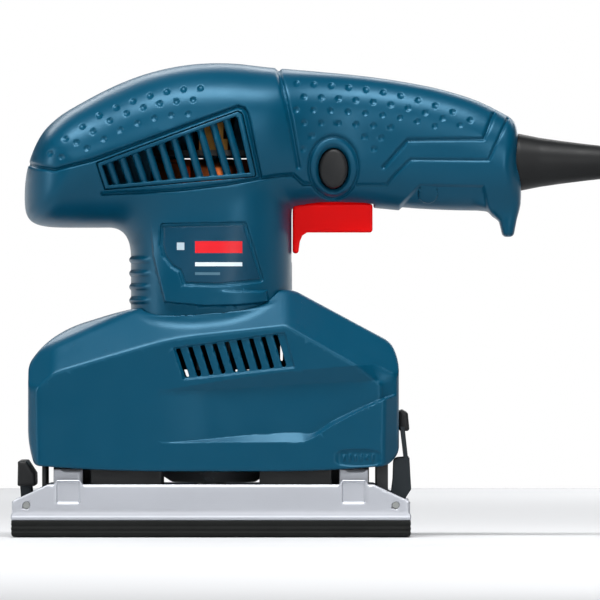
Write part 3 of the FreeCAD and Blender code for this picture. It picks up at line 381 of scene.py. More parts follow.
def rear_bores(x, y, z):
    """The screws' holes, with a wider bore for each head."""
    bore = FAR
    for sx, sz in SCREW_SPOTS:
        near = np.hypot(x - sx, z - sz)
        bore = np.minimum(bore, np.maximum(near - HEAD_R, HEAD_Y - y))
        bore = np.minimum(bore, near - SCREW_R)
    return bore


def front_half(x, y, z):
    inside = np.minimum(screw_bosses(x, y, z), motor_web(x, y, z))
    return smax(np.minimum(upper_shell(x, y, z), inside), y + PARTING, 0.35)


def rear_half(x, y, z):
    both = smax(np.minimum(upper_shell(x, y, z), screw_bosses(x, y, z)), PARTING - y, 0.35)
    return smax(both, -rear_bores(x, y, z), 0.5)


UPPER_LOW, UPPER_HIGH = (-86.5, -41.0, 96.0), (142.5, 41.0, 217.5)
STEP = 0.6
shell_front = solid("shell_front", front_half, UPPER_LOW, (142.5, 1.0, 217.5), STEP, 0.004)
shell_rear = solid("shell_rear", rear_half, (-86.5, -1.0, 96.0), UPPER_HIGH, STEP, 0.004)


# ---- side louvres -------------------------------------------------------------------------------
SLATS, SLAT_R = 10, 1.75
SLAT_TOP = ((-46.9, 171.4), (6.7, 190.6))
SLAT_LOW = ((-42.4, 158.4), (14.6, 162.4))


def louvre(name, side):
    """The slatted grille on one side: -1 is the side with the lock button."""
    def field(x, y, z):
        base = upper_base(x, y, z)
        frame_in = smax(polygon(x, z, GRILLE), -polygon(x, z, GRILLE_CUT), 1.2)
        rim = smax(frame_in, smax(base + 0.1, -(base + 4.0), 0.6), 1.0)
        slats = FAR
        for i in range(SLATS):
            t = i / (SLATS - 1)
            a = (lerp(SLAT_TOP[0][0], SLAT_TOP[1][0], t), lerp(SLAT_TOP[0][1], SLAT_TOP[1][1], t))
            b = (lerp(SLAT_LOW[0][0], SLAT_LOW[1][0], t), lerp(SLAT_LOW[0][1], SLAT_LOW[1][1], t))
            slats = np.minimum(slats, to_segment(x, z, a, b) - SLAT_R)
        slats = smax(slats, polygon(x, z, GRILLE) + 0.6, 0.4)
        slats = smax(slats, smax(base + 0.9, -(base + 6.5), 0.8), 2.6)
        return np.maximum(smin(rim, slats, 0.5), 15.0 - side * y)

    lows = (-54.0, 18.0 if side > 0 else -40.0, 156.0)
    highs = (22.0, 40.0 if side > 0 else -18.0, 196.0)
    return solid(name, field, lows, highs, 0.5, 0.004)


louvre_front = louvre("louvre_front", -1.0)
louvre_rear = louvre("louvre_rear", 1.0)


# ---- label films --------------------------------------------------------------------------------
def label_film(x, y, z):
    """A film in the label's recess, on both sides."""
    level = upper_outside(x, y, z)
    film = smax(polygon(x, z, LABEL), smax(level - 0.35, -(level + 0.25), 0.2), 0.4)
    return np.maximum(film, 20.0 - np.abs(y))


label_front = solid("label_front", label_film, (-23.5, -39.0, 113.5), (24.0, -28.0, 143.5), 0.35, 0.002)
label_rear = solid("label_rear", label_film, (-23.5, 28.0, 113.5), (24.0, 39.0, 143.5), 0.35, 0.002)


# ---- hood ---------------------------------------------------------------------------------------
HOOD_EDGE = [(-80.4, 32.4), (-47.0, 29.8), (52.0, 29.8), (80.6, 32.4), (85.6, 38.0), (85.6, 80.6),
             (82.0, 88.6), (36.9, 112.8), (-37.3, 104.0), (-65.0, 95.4), (-76.4, 87.8), (-83.4, 78.5),
             (-83.4, 42.0)]
HOOD_CREASE = [(-82.0, 66.0), (-79.2, 68.6), (-72.3, 74.8), (-50.5, 81.4), (-17.7, 90.3), (34.8, 96.0),
               (78.6, 71.6), (90.0, 65.2)]
SIDE_Y, SIDE_LEAN = 44.0, 0.022
ROOF_STEEP, ROOF_Y = 0.92, 42.7
HOOD_WALL = 3.0
FAN_ROOM_R, HOOD_WEB_Y = 31.7, 13.0


def planes_inside(u, v, corners, k):
    """The convex outline through corners, as a field whose edges are rounded over about k."""
    level = -FAR
    for (au, av), (bu, bv) in zip(corners, corners[1:] + corners[:1]):
        length = math.hypot(bu - au, bv - av)
        level = smax(level, ((u - au) * (bv - av) - (v - av) * (bu - au)) / length, k)
    return level


def hood_outer(x, y, z, inset=0.0):
    """The hood's outside, moved inwards by inset."""
    level = planes_inside(x, z, HOOD_EDGE, 2.2) + inset
    face = np.abs(y) - SIDE_Y + (z - 30.0) * SIDE_LEAN + inset
    level = smax(level, face, 1.2)
    for (ax, az), (bx, bz) in zip(HOOD_CREASE, HOOD_CREASE[1:]):
        tilt = (bz - az) / (bx - ax)
        roof = z - az - tilt * (x - ax) - ROOF_STEEP * (ROOF_Y - np.abs(y))
        level = smax(level, roof / math.sqrt(1 + tilt ** 2 + ROOF_STEEP ** 2) + inset, 1.1)
    hip = z - 84.3 - 0.385 * (x + 73.7) - 0.35 * (36.0 - np.abs(y))
    level = smax(level, hip / 1.13 + inset, 1.5)
    far = z - 103.5 + 0.598 * (x - 48.0) - 0.55 * (34.0 - np.abs(y))
    level = smax(level, far / 1.29 + inset, 1.5)
    for corner_x, sign in ((-79.3, -1), (79.2, 1)):
        corner = (sign * (x - corner_x) * 0.8 + (np.abs(y) - 43.2) * 0.6) + inset
        level = smax(level, corner, 1.4)
    return level


scoop_top = curve((-40, 64.5), (-28.2, 66.0), (34.1, 75.1), (65.1, 77.8), (95, 79.5))
scoop_top_low = curve((-40, 64.2), (-28.2, 65.4), (0.9, 66.9), (37.8, 69.2), (78.5, 71.3), (95, 72))
scoop_low_top = curve((-40, 42.6), (-14, 43.4), (25.5, 46.9), (41.0, 47.3), (44.5, 46.8), (56, 53.0),
                      (67.5, 58.4), (95, 70))
scoop_low = curve((-40, 42.0), (-14, 42.8), (30.0, 43.2), (42.5, 43.4), (56, 51.0), (67.5, 57.2),
                  (95, 69))
VENT_POCKET = [(-16.6, 85.6), (33.2, 92.6), (37.6, 77.4), (-12.0, 72.0)]
VENTS, VENT_R = 9, 0.95
PILL, PILL_RIBS, PILL_PITCH = (67.1, 36.0), 6, 2.6


def vent_line(i):
    """The ends of a slot's middle line."""
    t = i / (VENTS - 1)
    return (lerp(-15.0, 29.2, t), lerp(85.6, 92.0, t)), (lerp(-11.0, 33.2, t), lerp(73.4, 78.2, t))


def hood_depth(x, z):
    """How deep the hood's sides are cut, seen from the side."""
    upper = np.clip((scoop_top(x) - z) / np.maximum(scoop_top(x) - scoop_top_low(x), 0.5), 0, 1)
    lower = np.clip((z - scoop_low(x)) / np.maximum(scoop_low_top(x) - scoop_low(x), 0.5), 0, 1)
    depth = 3.4 * ramp(x, -60.0, 40.0) * upper * lower * ramp(x, -29.0, 0.0)
    depth = depth + 0.9 * ramp(-polygon(x, z, VENT_POCKET, 0.4), -0.4, 0.5)
    pill = oval(x, z, PILL, 9.8, 3.7, 4.0)
    depth = depth + 0.7 * ramp(-pill, -0.3, 0.4)
    for i in range(PILL_RIBS):
        place = (PILL[0] + PILL_PITCH * (i - (PILL_RIBS - 1) / 2), PILL[1])
        rib = oval(x, z, place, 0.55, 1.3 + 0.4 * (i % 2), 4.0)
        depth = depth - 0.55 * ramp(-rib, -0.2, 0.3)
    return depth


hood_relief = Relief(hood_depth, (-95.0, 95.0), (20.0, 120.0))


def hood_field(x, y, z):
    relief = hood_relief(x, z) * ramp(np.abs(y), 36.0, 39.0)
    outer = hood_outer(x, y, z) + relief
    collar = smax(neck_field(x, y, 0.7), z - 99.5 - 0.07 * (x + 37), 1.5)
    outer = smin(outer, np.maximum(collar, 60.0 - z), 4.0)
    skirt = block(x, y, z, (-76.5, -41.0, 15.0), (78.5, 41.0, 45.0))
    cavity = np.minimum(hood_outer(x, y, z, HOOD_WALL), skirt) + relief
    shell = smax(outer, -cavity, 0.8)
    fan_room = np.maximum(np.hypot(x - AXIS_X, y) - FAN_ROOM_R, 72.0 - z)
    web = np.maximum(np.abs(y - HOOD_WEB_Y) - 0.9, 6.0 - np.abs(x - AXIS_X))
    web = np.maximum(np.maximum(web, outer + ROOT), np.maximum(57.0 - z, z - 96.0))
    shell = np.minimum(shell, np.maximum(web, -fan_room))
    seat = np.where(z < 99.8, neck_field(x, y, -2.8), neck_field(x, y, 0.25))
    shell = smax(shell, -np.maximum(seat, 80.0 - z), 0.5)
    for i in range(VENTS):
        top, low = vent_line(i)
        slot = np.maximum(to_segment(x, z, top, low) - VENT_R, 30.0 - np.abs(y))
        shell = smax(shell, -np.maximum(slot, polygon(x, z, VENT_POCKET) + 0.2), 0.4)
    return shell


hood = solid("hood", hood_field, (-84.0, -45.5, 28.5), (86.5, 45.5, 114.0), STEP, 0.006)


# ---- base plate and pad -------------------------------------------------------------------------
PAD_X, PAD_Y, PAD_Z = 91.0, 46.0, 7.7
PLATE_Y = 45.5
TAB_X, TAB_TOP, WALL_TOP = 65.0, 26.0, 23.9
PIN_X, PIN_Z = 84.0, 14.4


def base_plate_field(x, y, z):
    ay, ax = np.abs(y), np.abs(x)
    floor = block(x, y, z, (-PAD_X, -PLATE_Y, PAD_Z + 0.05), (PAD_X, PLATE_Y, 10.2), 0.5)
    lip = block(x, y, z, (-PAD_X, -PAD_Y, PAD_Z + 0.05), (PAD_X, PAD_Y, PAD_Z + 1.7), 0.6)
    low, wall_z, tab_z = PAD_Z + 0.6, WALL_TOP - 0.5, TAB_TOP - 0.5
    outline = polygon(ax, z, [(-1.0, low), (90.1, low), (90.1, 15.9), (74.0, wall_z), (71.5, wall_z),
                              (70.0, tab_z), (60.0, tab_z), (58.5, wall_z), (-1.0, wall_z)], 0.5)
    wall = smax(outline, np.abs(ay - 44.5) - 1.0, 0.9)
    post = block(ax, ay, z, (58.4, 23.5, 9.0), (71.6, 39.0, 31.0), 0.7)
    hub = np.maximum(np.hypot(x, y) - 17.0, np.maximum(PAD_Z + 0.05 - z, z - 22.5))
    rib = block(x, ay, z, (-54.0, 19.0, 9.0), (54.0, 21.0, 14.0), 0.5)
    plate = smin(np.minimum(floor, lip), np.minimum(wall, rib), 1.0)
    plate = smin(plate, np.minimum(post, hub), 1.0)
    pocket = block(ax, ay, z, (59.9, 44.6, 15.6), (70.1, 50.0, 25.1), 0.4)
    plate = smax(plate, -pocket, 0.5)
    plate = smax(plate, -np.maximum(np.hypot(x, y) - 13.05, 13.0 - z), 0.4)
    plate = np.maximum(plate, -np.maximum(np.hypot(x, y) - 9.5, 9.0 - z))
    cup = np.maximum(np.hypot(ax - TAB_X, ay - 30.0) - 5.45, 12.0 - z)
    plate = smax(plate, -cup, 0.4)
    return smax(plate, -(np.hypot(ax - PIN_X, z - PIN_Z) - 1.55), 0.3)


base_plate = solid("sanding_plate", base_plate_field, (-91.5, -46.5, 7.5), (91.5, 46.5, 31.5),
                   0.6, 0.004)


def gap_shade_sheet_field(x, y, z):
    """Dark sheets of painted shade that hang from the motor's bracket, inside the plate's walls, put
    where the gap under the hood is only in shade.
    """
    ax, ay = np.abs(x), np.abs(y)
    inner = block(ax, ay, z, (22.0, 33.9, 17.0), (55.0, 35.9, 52.2), 0.5)
    outer = block(ax, ay, z, (75.0, 33.9, 19.0), (80.6, 35.9, 47.0), 0.5)
    outer = np.maximum(outer, -x - 77.0)
    bridge = block(ax, ay, z, (22.0, 35.6, 40.0), (78.6, 37.2, 52.2), 0.5)
    curtain = block(ax, ay, z, (30.0, 19.3, 17.0), (72.0, 20.9, 52.2), 0.5)
    return np.minimum(np.minimum(inner, outer), np.minimum(bridge, curtain))


# painted shade: dark sheets that fill the gap between the hood and the plate
shade_sheets = solid("gap_shade_sheets", gap_shade_sheet_field, (-81.5, -38.0, 16.4), (81.5, 38.0, 53.0), 0.6, 0.004)


def pad_field(x, y, z):
    slab = block(x, y, z, (-PAD_X + 0.1, -PAD_Y + 0.1, 0.0), (PAD_X - 0.1, PAD_Y - 0.1, PAD_Z), 0.5)
    chamfer = (np.abs(y) - PAD_Y + 1.0 - z) * 0.7071
    ends = (np.abs(x) - PAD_X + 1.0 - z) * 0.7071
    slab = smax(slab, smax(chamfer, ends, 0.5), 0.6)
    ripple = 0.12 * np.sin(z * 2.9)
    slab = slab + ripple * ramp(z, 1.0, 2.0) * ramp(z, 7.2, 6.2)
    for px in (12.0, 44.0):
        near = np.hypot(np.abs(x) - px, np.abs(y) - 27.0)
        slab = smax(slab, -np.minimum(near - 1.9, np.maximum(near - 4.0, z - 4.5)), 0.4)
    return slab


pad = solid("backing_pad_foam", pad_field, (-91.5, -46.5, -0.2), (91.5, 46.5, 8.0), 0.6, 0.004)


# ---- controls -----------------------------------------------------------------------------------
def trigger_field(x, y, z):
    paddle = polygon(x, z, [(38.4, 150.4), (72.4, 150.6), (72.4, 140.0), (43.4, 140.0), (40.6, 138.2),
                            (39.2, 135.0), (38.6, 130.4), (38.4, 130.4)], 1.3)
    paddle = smax(paddle, np.abs(y) - 9.0, 1.3)
    stem = block(x, y, z, (38.5, -8.4, 149.0), (72.0, 8.4, 156.5), 0.8)
    return smin(paddle, stem, 0.6)


trigger = solid("trigger_paddle", trigger_field, (36.5, -9.5, 128.5), (74.2, 9.5, 157.0), 0.5)


def button_field(x, y, z):
    dome = -24.0 + 0.018 * ((x - BUTTON_HOLE[0]) ** 2 + 0.5 * (z - BUTTON_HOLE[1]) ** 2)
    cap = smax(oval(x, z, BUTTON_HOLE, 6.5, 9.0), np.maximum(dome - y, y + 16.0), 1.6)
    shank = np.hypot(x - BUTTON_HOLE[0], z - BUTTON_HOLE[1]) - 2.4
    pin = np.maximum(shank, np.maximum(-17.0 - y, y + 11.4))
    return np.minimum(cap, pin)


button = solid("lock_button_cap", button_field, (48.5, -24.5, 158.0), (63.0, -11.0, 177.5), 0.4)

SLEEVE = [(131.9, 3.55), (131.9, 14.4), (135.9, 14.4), (136.4, 12.8), (141.0, 12.8), (150.0, 11.0),
          (159.5, 9.6), (169.0, 8.4), (177.0, 7.5), (190.2, 5.8), (190.7, 3.55)]


def sleeve_field(x, y, z):
    return polygon(x, np.hypot(y, z - LEAD_Z), SLEEVE, 0.3)


sleeve = solid("lead_sleeve", sleeve_field, (131.0, -15.2, 155.5), (192.0, 15.2, 186.2), 0.5)


def front_grip_field(x, y, z):
    outline = polygon(x, z, [(-87.4, 23.8), (-81.0, 23.8), (-81.1, 28.2), (-84.6, 33.6),
                             (-87.2, 33.6)], 0.9)
    bar = smax(outline, np.abs(y) - 36.0, 2.0)
    waist = 0.35 * np.maximum(np.sin(y * 0.9), 0.0) * ramp(z, 33.5, 30.0)
    slots = block(x, np.abs(y), z, (-90.5, 31.0, 19.0), (-79.5, 34.2, 24.6))
    return smax(bar + waist, -slots, 0.3)


grip = solid("front_grip", front_grip_field, (-88.8, -36.5, 22.5), (-79.8, 36.5, 35.0), 0.5)


def rear_cap_field(x, y, z):
    outline = polygon(x, z, [(86.7, 49.2), (89.2, 49.2), (88.6, 55.6), (87.3, 56.4), (86.7, 56.2)], 1.2)
    cap = smax(outline, np.abs(y) - 28.0, 2.0)
    blade_side = (x - 89.5 + (z - 22.5) * 0.1164) * 0.993
    blade = np.maximum(-blade_side, blade_side - 1.8)
    tongue = np.maximum(blade, np.maximum(z - 50.1, np.abs(y) - 26.1))
    return smax(cap, -tongue, 0.3)


cap = solid("rear_cap", rear_cap_field, (85.0, -28.5, 47.5), (90.9, 28.5, 58.2), 0.45)

PLUG_X, PLUG_Y, PLUG_Z = 278.0, -48.0, 18.2
PLUG = [(0.8, -1.0), (0.8, 4.4), (9.0, 5.6), (14.0, 9.0), (20.0, 13.4), (26.0, 15.9), (33.0, 16.6),
        (43.0, 16.6), (43.0, -1.0)]


def plug_field(x, y, z):
    radial = np.hypot(y - PLUG_Y, z - PLUG_Z)
    turned = polygon(x - PLUG_X, radial, PLUG, 0.9)
    body = smax(turned, np.abs(y - PLUG_Y) - 13.8, 3.0)
    grip_ribs = 0.5 * np.maximum(np.sin((x - PLUG_X) * 1.5), 0.0)
    window = ramp(x, PLUG_X + 25, PLUG_X + 28) * ramp(x, PLUG_X + 41, PLUG_X + 38)
    return body + grip_ribs * window * ramp(np.abs(y - PLUG_Y), 10.0, 13.0)


plug = solid("plug_moulding", plug_field, (277.5, -62.5, 0.0), (322.5, -33.5, 36.4), 0.55)

# ---- the mains lead: one spline from the sleeve through the coil to the plug --------------------
CORD_D = 7.0
LEAD_X = 191.0
LEAD_ROUTE = [(LEAD_X, 0, LEAD_Z), (214, 0, LEAD_Z), (240, 1, 162.5), (261, 4, 142), (273, 8, 112),
              (278, 14, 80), (277, 21, 52), (268, 29, 34), (256, 33, 27), (246.5, 34.4, 21.6)]
COIL_CENTRE = (240.0, 0.0)
# (ring, layer) of each turn, in the order that the lead fills them
COIL_SLOTS = [(0, 2), (1, 2), (1, 1), (0, 1), (0, 0), (1, 0), (2, 0), (2, 1), (2, 2)]
COIL_RING0, COIL_LAYER0 = 34.0, 4.2
COIL_TURNS = 8.5
FIRST_STAY, SHIFT_LENGTH = 318.0, 45.0
POINTS_PER_TURN = 24


def coil_route():
    """Neat turns, each a cord's width from the next; the lead shifts over by one place per turn."""
    total = COIL_TURNS * 360.0
    stay = (total - 2 * FIRST_STAY) / (len(COIL_SLOTS) - 2)
    shrink = math.cos(math.pi / POINTS_PER_TURN)  # a quadratic spline runs inside its points
    route = []
    count = int(COIL_TURNS * POINTS_PER_TURN)
    for i in range(count + 1):
        turned = total * i / count
        ring_at, layer_at = COIL_SLOTS[0]
        for k in range(len(COIL_SLOTS) - 1):
            middle = FIRST_STAY + stay * k
            done = float(ramp(turned, middle - SHIFT_LENGTH / 2, middle + SHIFT_LENGTH / 2))
            ring_at += (COIL_SLOTS[k + 1][0] - COIL_SLOTS[k][0]) * done
            layer_at += (COIL_SLOTS[k + 1][1] - COIL_SLOTS[k][1]) * done
        radius = (COIL_RING0 + CORD_D * ring_at) / shrink
        angle = math.radians(90.0 + turned)
        route.append((COIL_CENTRE[0] + radius * math.cos(angle),
                      COIL_CENTRE[1] + radius * math.sin(angle), COIL_LAYER0 + CORD_D * layer_at))
    return route


TAIL = [(259, -48.2, 18.2), (278.6, -48, 18.2)]
route = LEAD_ROUTE + coil_route() + TAIL
line = bpy.data.curves.new("mains_lead", "CURVE")
line.dimensions = "3D"
spline = line.splines.new("NURBS")
spline.points.add(len(route) - 1)
for point, place in zip(spline.points, route):
    point.co = (place[0] * MM, place[1] * MM, place[2] * MM, 1.0)
spline.order_u = 3
spline.use_endpoint_u = True
spline.resolution_u = 6
line.bevel_depth = CORD_D / 2 * MM
line.bevel_resolution = 6
line.use_fill_caps = True
lead = bpy.data.objects.new("mains_lead", line)
bpy.context.scene.collection.objects.link(lead)


TIE_R = 42.0    # from the coil's middle to a tie's
TIE_REACH = 15.0


def tie_field(angle):
    """A flat strap round the coil's section at an angle, with a small head."""
    c, s = math.cos(math.radians(angle)), math.sin(math.radians(angle))

    def field(x, y, z):
        out = (x - COIL_CENTRE[0]) * c + (y - COIL_CENTRE[1]) * s
        along = (y - COIL_CENTRE[1]) * c - (x - COIL_CENTRE[0]) * s
        across, up = np.abs(out - 41.0) - 7.2, np.abs(z - 11.2) - 7.2
        round_box = (np.hypot(np.maximum(across, 0), np.maximum(up, 0))
                     + np.minimum(np.maximum(across, up), 0) - 3.65)
        strap = smax(np.abs(round_box) - 0.34, np.abs(along) - 2.6, 0.3)
        head = block(out, along, z, (50.6, -3.6, 8.0), (53.6, 3.6, 14.4), 0.8)
        return smin(strap, head, 0.4)

    return field


ties = []
for name, angle in (("lead_tie_1", 160.0), ("lead_tie_2", 222.0)):
    cx = COIL_CENTRE[0] + TIE_R * math.cos(math.radians(angle))
    cy = COIL_CENTRE[1] + TIE_R * math.sin(math.radians(angle))
    ties.append(solid(name, tie_field(angle), (cx - TIE_REACH, cy - TIE_REACH, -0.1),
                      (cx + TIE_REACH, cy + TIE_REACH, 23.0), 0.3))


# ---- materials ----------------------------------------------------------------------------------
def srgb(r, g, b):
    """A colour as seen on screen, 0 to 255, in linear light."""
    def lin(c):
        c /= 255.0
        return c / 12.92 if c <= 0.04045 else ((c + 0.055) / 1.055) ** 2.4
    return (lin(r), lin(g), lin(b), 1.0)


class Nodes:
    """Small helpers to write a shader as short lines."""

    def __init__(self, name):
        self.material = bpy.data.materials.new(name)
        self.material.use_nodes = True
        self.tree = self.material.node_tree
        self.shader = self.tree.nodes["Principled BSDF"]
        self.place = self.new("ShaderNodeTexCoord").outputs["Object"]

    def new(self, kind, **values):
        node = self.tree.nodes.new(kind)
        for key, value in values.items():
            setattr(node, key, value)
        return node

    def link(self, source, target):
        self.tree.links.new(source, target)

    def math(self, operation, a, b, c=0.0):
        node = self.new("ShaderNodeMath", operation=operation)
        for socket, value in zip(node.inputs, (a, b, c)):
            if isinstance(value, (int, float)):
                socket.default_value = value
            else:
                self.link(value, socket)
        return node.outputs[0]

    def noise(self, scale, detail=3.0, stretch=(1, 1, 1)):
        """Fine noise about 0.5."""
        mapping = self.new("ShaderNodeMapping")
        mapping.inputs["Scale"].default_value = stretch
        self.link(self.place, mapping.inputs["Vector"])
        node = self.new("ShaderNodeTexNoise")
        node.inputs["Scale"].default_value = scale
        node.inputs["Detail"].default_value = detail
        node.inputs["Roughness"].default_value = 0.55
        self.link(mapping.outputs[0], node.inputs["Vector"])
        return node.outputs["Fac"]

    def mix(self, factor, a, b):
        node = self.new("ShaderNodeMix", data_type="RGBA")
        self.link(factor, node.inputs["Factor"])
        for socket, value in zip(node.inputs[6:8], (a, b)):
            if isinstance(value, tuple):
                socket.default_value = value
            else:
                self.link(value, socket)
        return node.outputs[2]

    def span(self, value, low, high):
        """The noise's middle range stretched to run from low to high."""
        node = self.new("ShaderNodeMapRange")
        node.inputs["From Min"].default_value = 0.3
        node.inputs["From Max"].default_value = 0.7
        node.inputs["To Min"].default_value = low
        node.inputs["To Max"].default_value = high
        self.link(value, node.inputs["Value"])
        return node.outputs[0]

    def bump(self, height, strength, distance=0.00005):
        node = self.new("ShaderNodeBump")
        node.inputs["Strength"].default_value = strength
        node.inputs["Distance"].default_value = distance
        self.link(height, node.inputs["Height"])
        self.link(node.outputs[0], self.shader.inputs["Normal"])


def surface(name, colour, metallic, rough, spread, tone, grain, depth, stretch=(1, 1, 1), gloss=0.5,
            sheen=(1.0, 1.0, 1.0)):
    """A plastic, rubber or metal finish with uneven tone and roughness and a fine grain."""
    n = Nodes(name)
    base = srgb(*colour)
    darker = tuple(c * (1 - tone) for c in base[:3]) + (1.0,)
    lighter = tuple(min(c * (1 + tone), 1.0) for c in base[:3]) + (1.0,)
    n.link(n.mix(n.noise(38.0), darker, lighter), n.shader.inputs["Base Color"])
    roughness = n.span(n.noise(90.0, stretch=stretch), rough - spread, rough + spread)
    n.link(roughness, n.shader.inputs["Roughness"])
    n.bump(n.noise(grain, 2.0, stretch), depth)
    n.shader.inputs["Metallic"].default_value = metallic
    n.shader.inputs["Specular IOR Level"].default_value = gloss
    n.shader.inputs["Specular Tint"].default_value = sheen + (1.0,)
    return n.material


PLAIN = (1, 1, 1)
BRUSHED = (0.05, 1.0, 1.0)
# name, colour, metallic, roughness and its spread, spread of tone, size and depth of the grain
FINISHES = [
    ("housing_shell", (1, 62, 86), 0.0, 0.34, 0.03, 0.05, 2400, 0.2,
     PLAIN, 0.5, (0.3, 0.7, 1.0)),
    ("zinc_steel", (176, 178, 176), 1.0, 0.34, 0.08, 0.08, 1500, 0.2),
    ("bearing_steel", (190, 192, 196), 1.0, 0.2, 0.06, 0.05, 1800, 0.1, BRUSHED),
    ("cast_aluminium", (160, 163, 166), 0.9, 0.48, 0.08, 0.1, 900, 0.5),
    ("lamination_steel", (96, 98, 104), 0.9, 0.42, 0.1, 0.15, 1400, 0.6,
     (0.05, 0.05, 2.0)),
    ("copper_winding", (196, 104, 52), 0.9, 0.36, 0.1, 0.25, 900, 0.9,
     (0.2, 0.2, 2.0)),
    ("brush_brass", (120, 88, 44), 1.0, 0.34, 0.08, 0.1, 1300, 0.2),
    ("carbon", (32, 32, 34), 0.1, 0.62, 0.08, 0.2, 1100, 0.6),
    ("plate_metal", (184, 187, 194), 0.55, 0.42, 0.07, 0.04, 1500, 0.3, BRUSHED),
    ("lever_steel", (40, 46, 50), 0.6, 0.36, 0.08, 0.15, 1500, 0.25),
    ("black_grip", (34, 35, 36), 0.0, 0.42, 0.06, 0.12, 1700, 0.5, PLAIN, 0.2),
    ("pad_rubber", (18, 20, 19), 0.0, 0.66, 0.06, 0.2, 900, 1.0, PLAIN, 0.2),
    ("trigger_red", (245, 1, 4), 0.0, 0.38, 0.04, 0.04, 2200, 0.2, PLAIN, 0.12),
    ("inner_plastic", (30, 32, 34), 0.0, 0.5, 0.08, 0.15, 1300, 0.4),
    ("sleeve_rubber", (26, 27, 28), 0.0, 0.46, 0.06, 0.18, 1500, 0.5, PLAIN, 0.2),
    ("cord_jacket", (28, 29, 30), 0.0, 0.5, 0.06, 0.18, 1200, 0.5, PLAIN, 0.2),
]
MATERIALS = {finish[0]: surface(*finish) for finish in FINISHES}


def label_material():
    """A satin film with plain bars in place of any words."""
    n = Nodes("nameplate")
    axes = n.new("ShaderNodeSeparateXYZ")
    n.link(n.place, axes.inputs[0])
    x, z = axes.outputs["X"], axes.outputs["Z"]

    def bar(x0, x1, z0, z1):
        """1 inside a bar whose ends are given in millimetres."""
        across = n.math("COMPARE", x, (x0 + x1) / 2 * MM, (x1 - x0) / 2 * MM)
        upright = n.math("COMPARE", z, (z0 + z1) / 2 * MM, (z1 - z0) / 2 * MM)
        return n.math("MULTIPLY", across, upright)

    base = n.mix(n.noise(60.0), srgb(8, 56, 78), srgb(10, 62, 86))
    colour = n.mix(bar(-7.3, 14.2, 129.2, 134.6), base, srgb(214, 30, 40))
    colour = n.mix(bar(-7.3, 14.2, 123.2, 125.0), colour, srgb(214, 226, 232))
    colour = n.mix(bar(-7.3, 4.1, 119.2, 120.4), colour, srgb(74, 110, 128))
    colour = n.mix(bar(-15.6, -12.2, 130.6, 134.0), colour, srgb(170, 188, 198))
    n.link(colour, n.shader.inputs["Base Color"])
    n.link(n.span(n.noise(120.0), 0.3, 0.4), n.shader.inputs["Roughness"])
    n.shader.inputs["Specular IOR Level"].default_value = 0.2
    n.bump(n.noise(2600.0), 0.15)
    return n.material


MATERIALS["nameplate"] = label_material()

NODE_SLOTS = {
    "cast_aluminium": ["bearing_bracket", "bearing_retainer"],
    "lamination_steel": ["stator_core", "armature_core"],
    "copper_winding": ["field_coils", "armature_windings", "commutator"],
    "brush_brass": ["brush_holders"],
    "carbon": ["carbon_brushes"],
    "bearing_steel": ["top_bearing_outer", "motor_bearing_outer", "top_bearing_inner",
                      "motor_bearing_inner", "pad_bearing_outer", "pad_bearing_inner",
                      "armature_shaft", "plug_pins"],
    "zinc_steel": ["housing_screws", "bracket_screws", "brush_springs", "pad_screws", "clamp_pins",
                   "clamp_springs", "trigger_spring", "button_spring", "cable_clamp_screws",
                   "eccentric_counterweight"],
    "lever_steel": ["front_clamp_lever", "rear_clamp_lever"],
    "inner_plastic": ["brush_plate", "cooling_fan", "switch_plunger", "switch_body",
                      "suppressor_capacitor", "cable_clamp"],
    "pad_rubber": ["flex_feet"],
    "cord_jacket": ["lead_inside"],
}


def paint(piece, slot_name):
    piece.data.materials.clear()
    piece.data.materials.append(MATERIALS[slot_name])


for slot_name, names in NODE_SLOTS.items():
    for name in names:
        paint(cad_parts[name], slot_name)


# ---- what each piece rides on and stands for ----------------------------------------------------
PIECES = [
    (shell_front, "housing", "housing_shell", ["housing_left"]),
    (shell_rear, "housing", "housing_shell", ["housing_right"]),
    (louvre_front, "housing", "housing_shell", ["louvre_left"]),
    (louvre_rear, "housing", "housing_shell", ["louvre_right"]),
    (label_front, "housing", "nameplate", ["nameplates"]),
    (label_rear, "housing", "nameplate", []),
    (hood, "housing", "housing_shell", ["base_hood"]),
    (base_plate, "sanding_base", "plate_metal", ["base_plate"]),
    (pad, "sanding_base", "pad_rubber", ["backing_pad"]),
    (trigger, "trigger", "trigger_red", ["trigger"]),
    (button, "lock_button", "black_grip", ["lock_button"]),
    (sleeve, "housing", "sleeve_rubber", ["cord_sleeve"]),
    (grip, "front_clamp", "black_grip", ["front_clamp_grip"]),
    (cap, "rear_clamp", "black_grip", ["rear_clamp_cap"]),
    (plug, "housing", "sleeve_rubber", ["plug_body"]),
    (lead, "housing", "cord_jacket", ["lead_run", "lead_coil", "lead_tail"]),
    # the dark sheets of painted shade in the gap under the hood
    (shade_sheets, "housing", "inner_plastic", []),
    (ties[0], "housing", "black_grip", []),
    (ties[1], "housing", "black_grip", []),
]
for piece, body, slot_name, stands_for in PIECES:
    paint(piece, slot_name)
    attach(piece, body)
    if stands_for:
        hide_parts(*stands_for)


# ---- stage, light and camera --------------------------------------------------------------------
FLOOR_X, FLOOR_Y, FLOOR_Z = 0.05, -0.3, -0.0003
FLOOR_HALF_X, FLOOR_HALF_Y = 2.4, 2.1
RINGS, AROUND = 6, 96


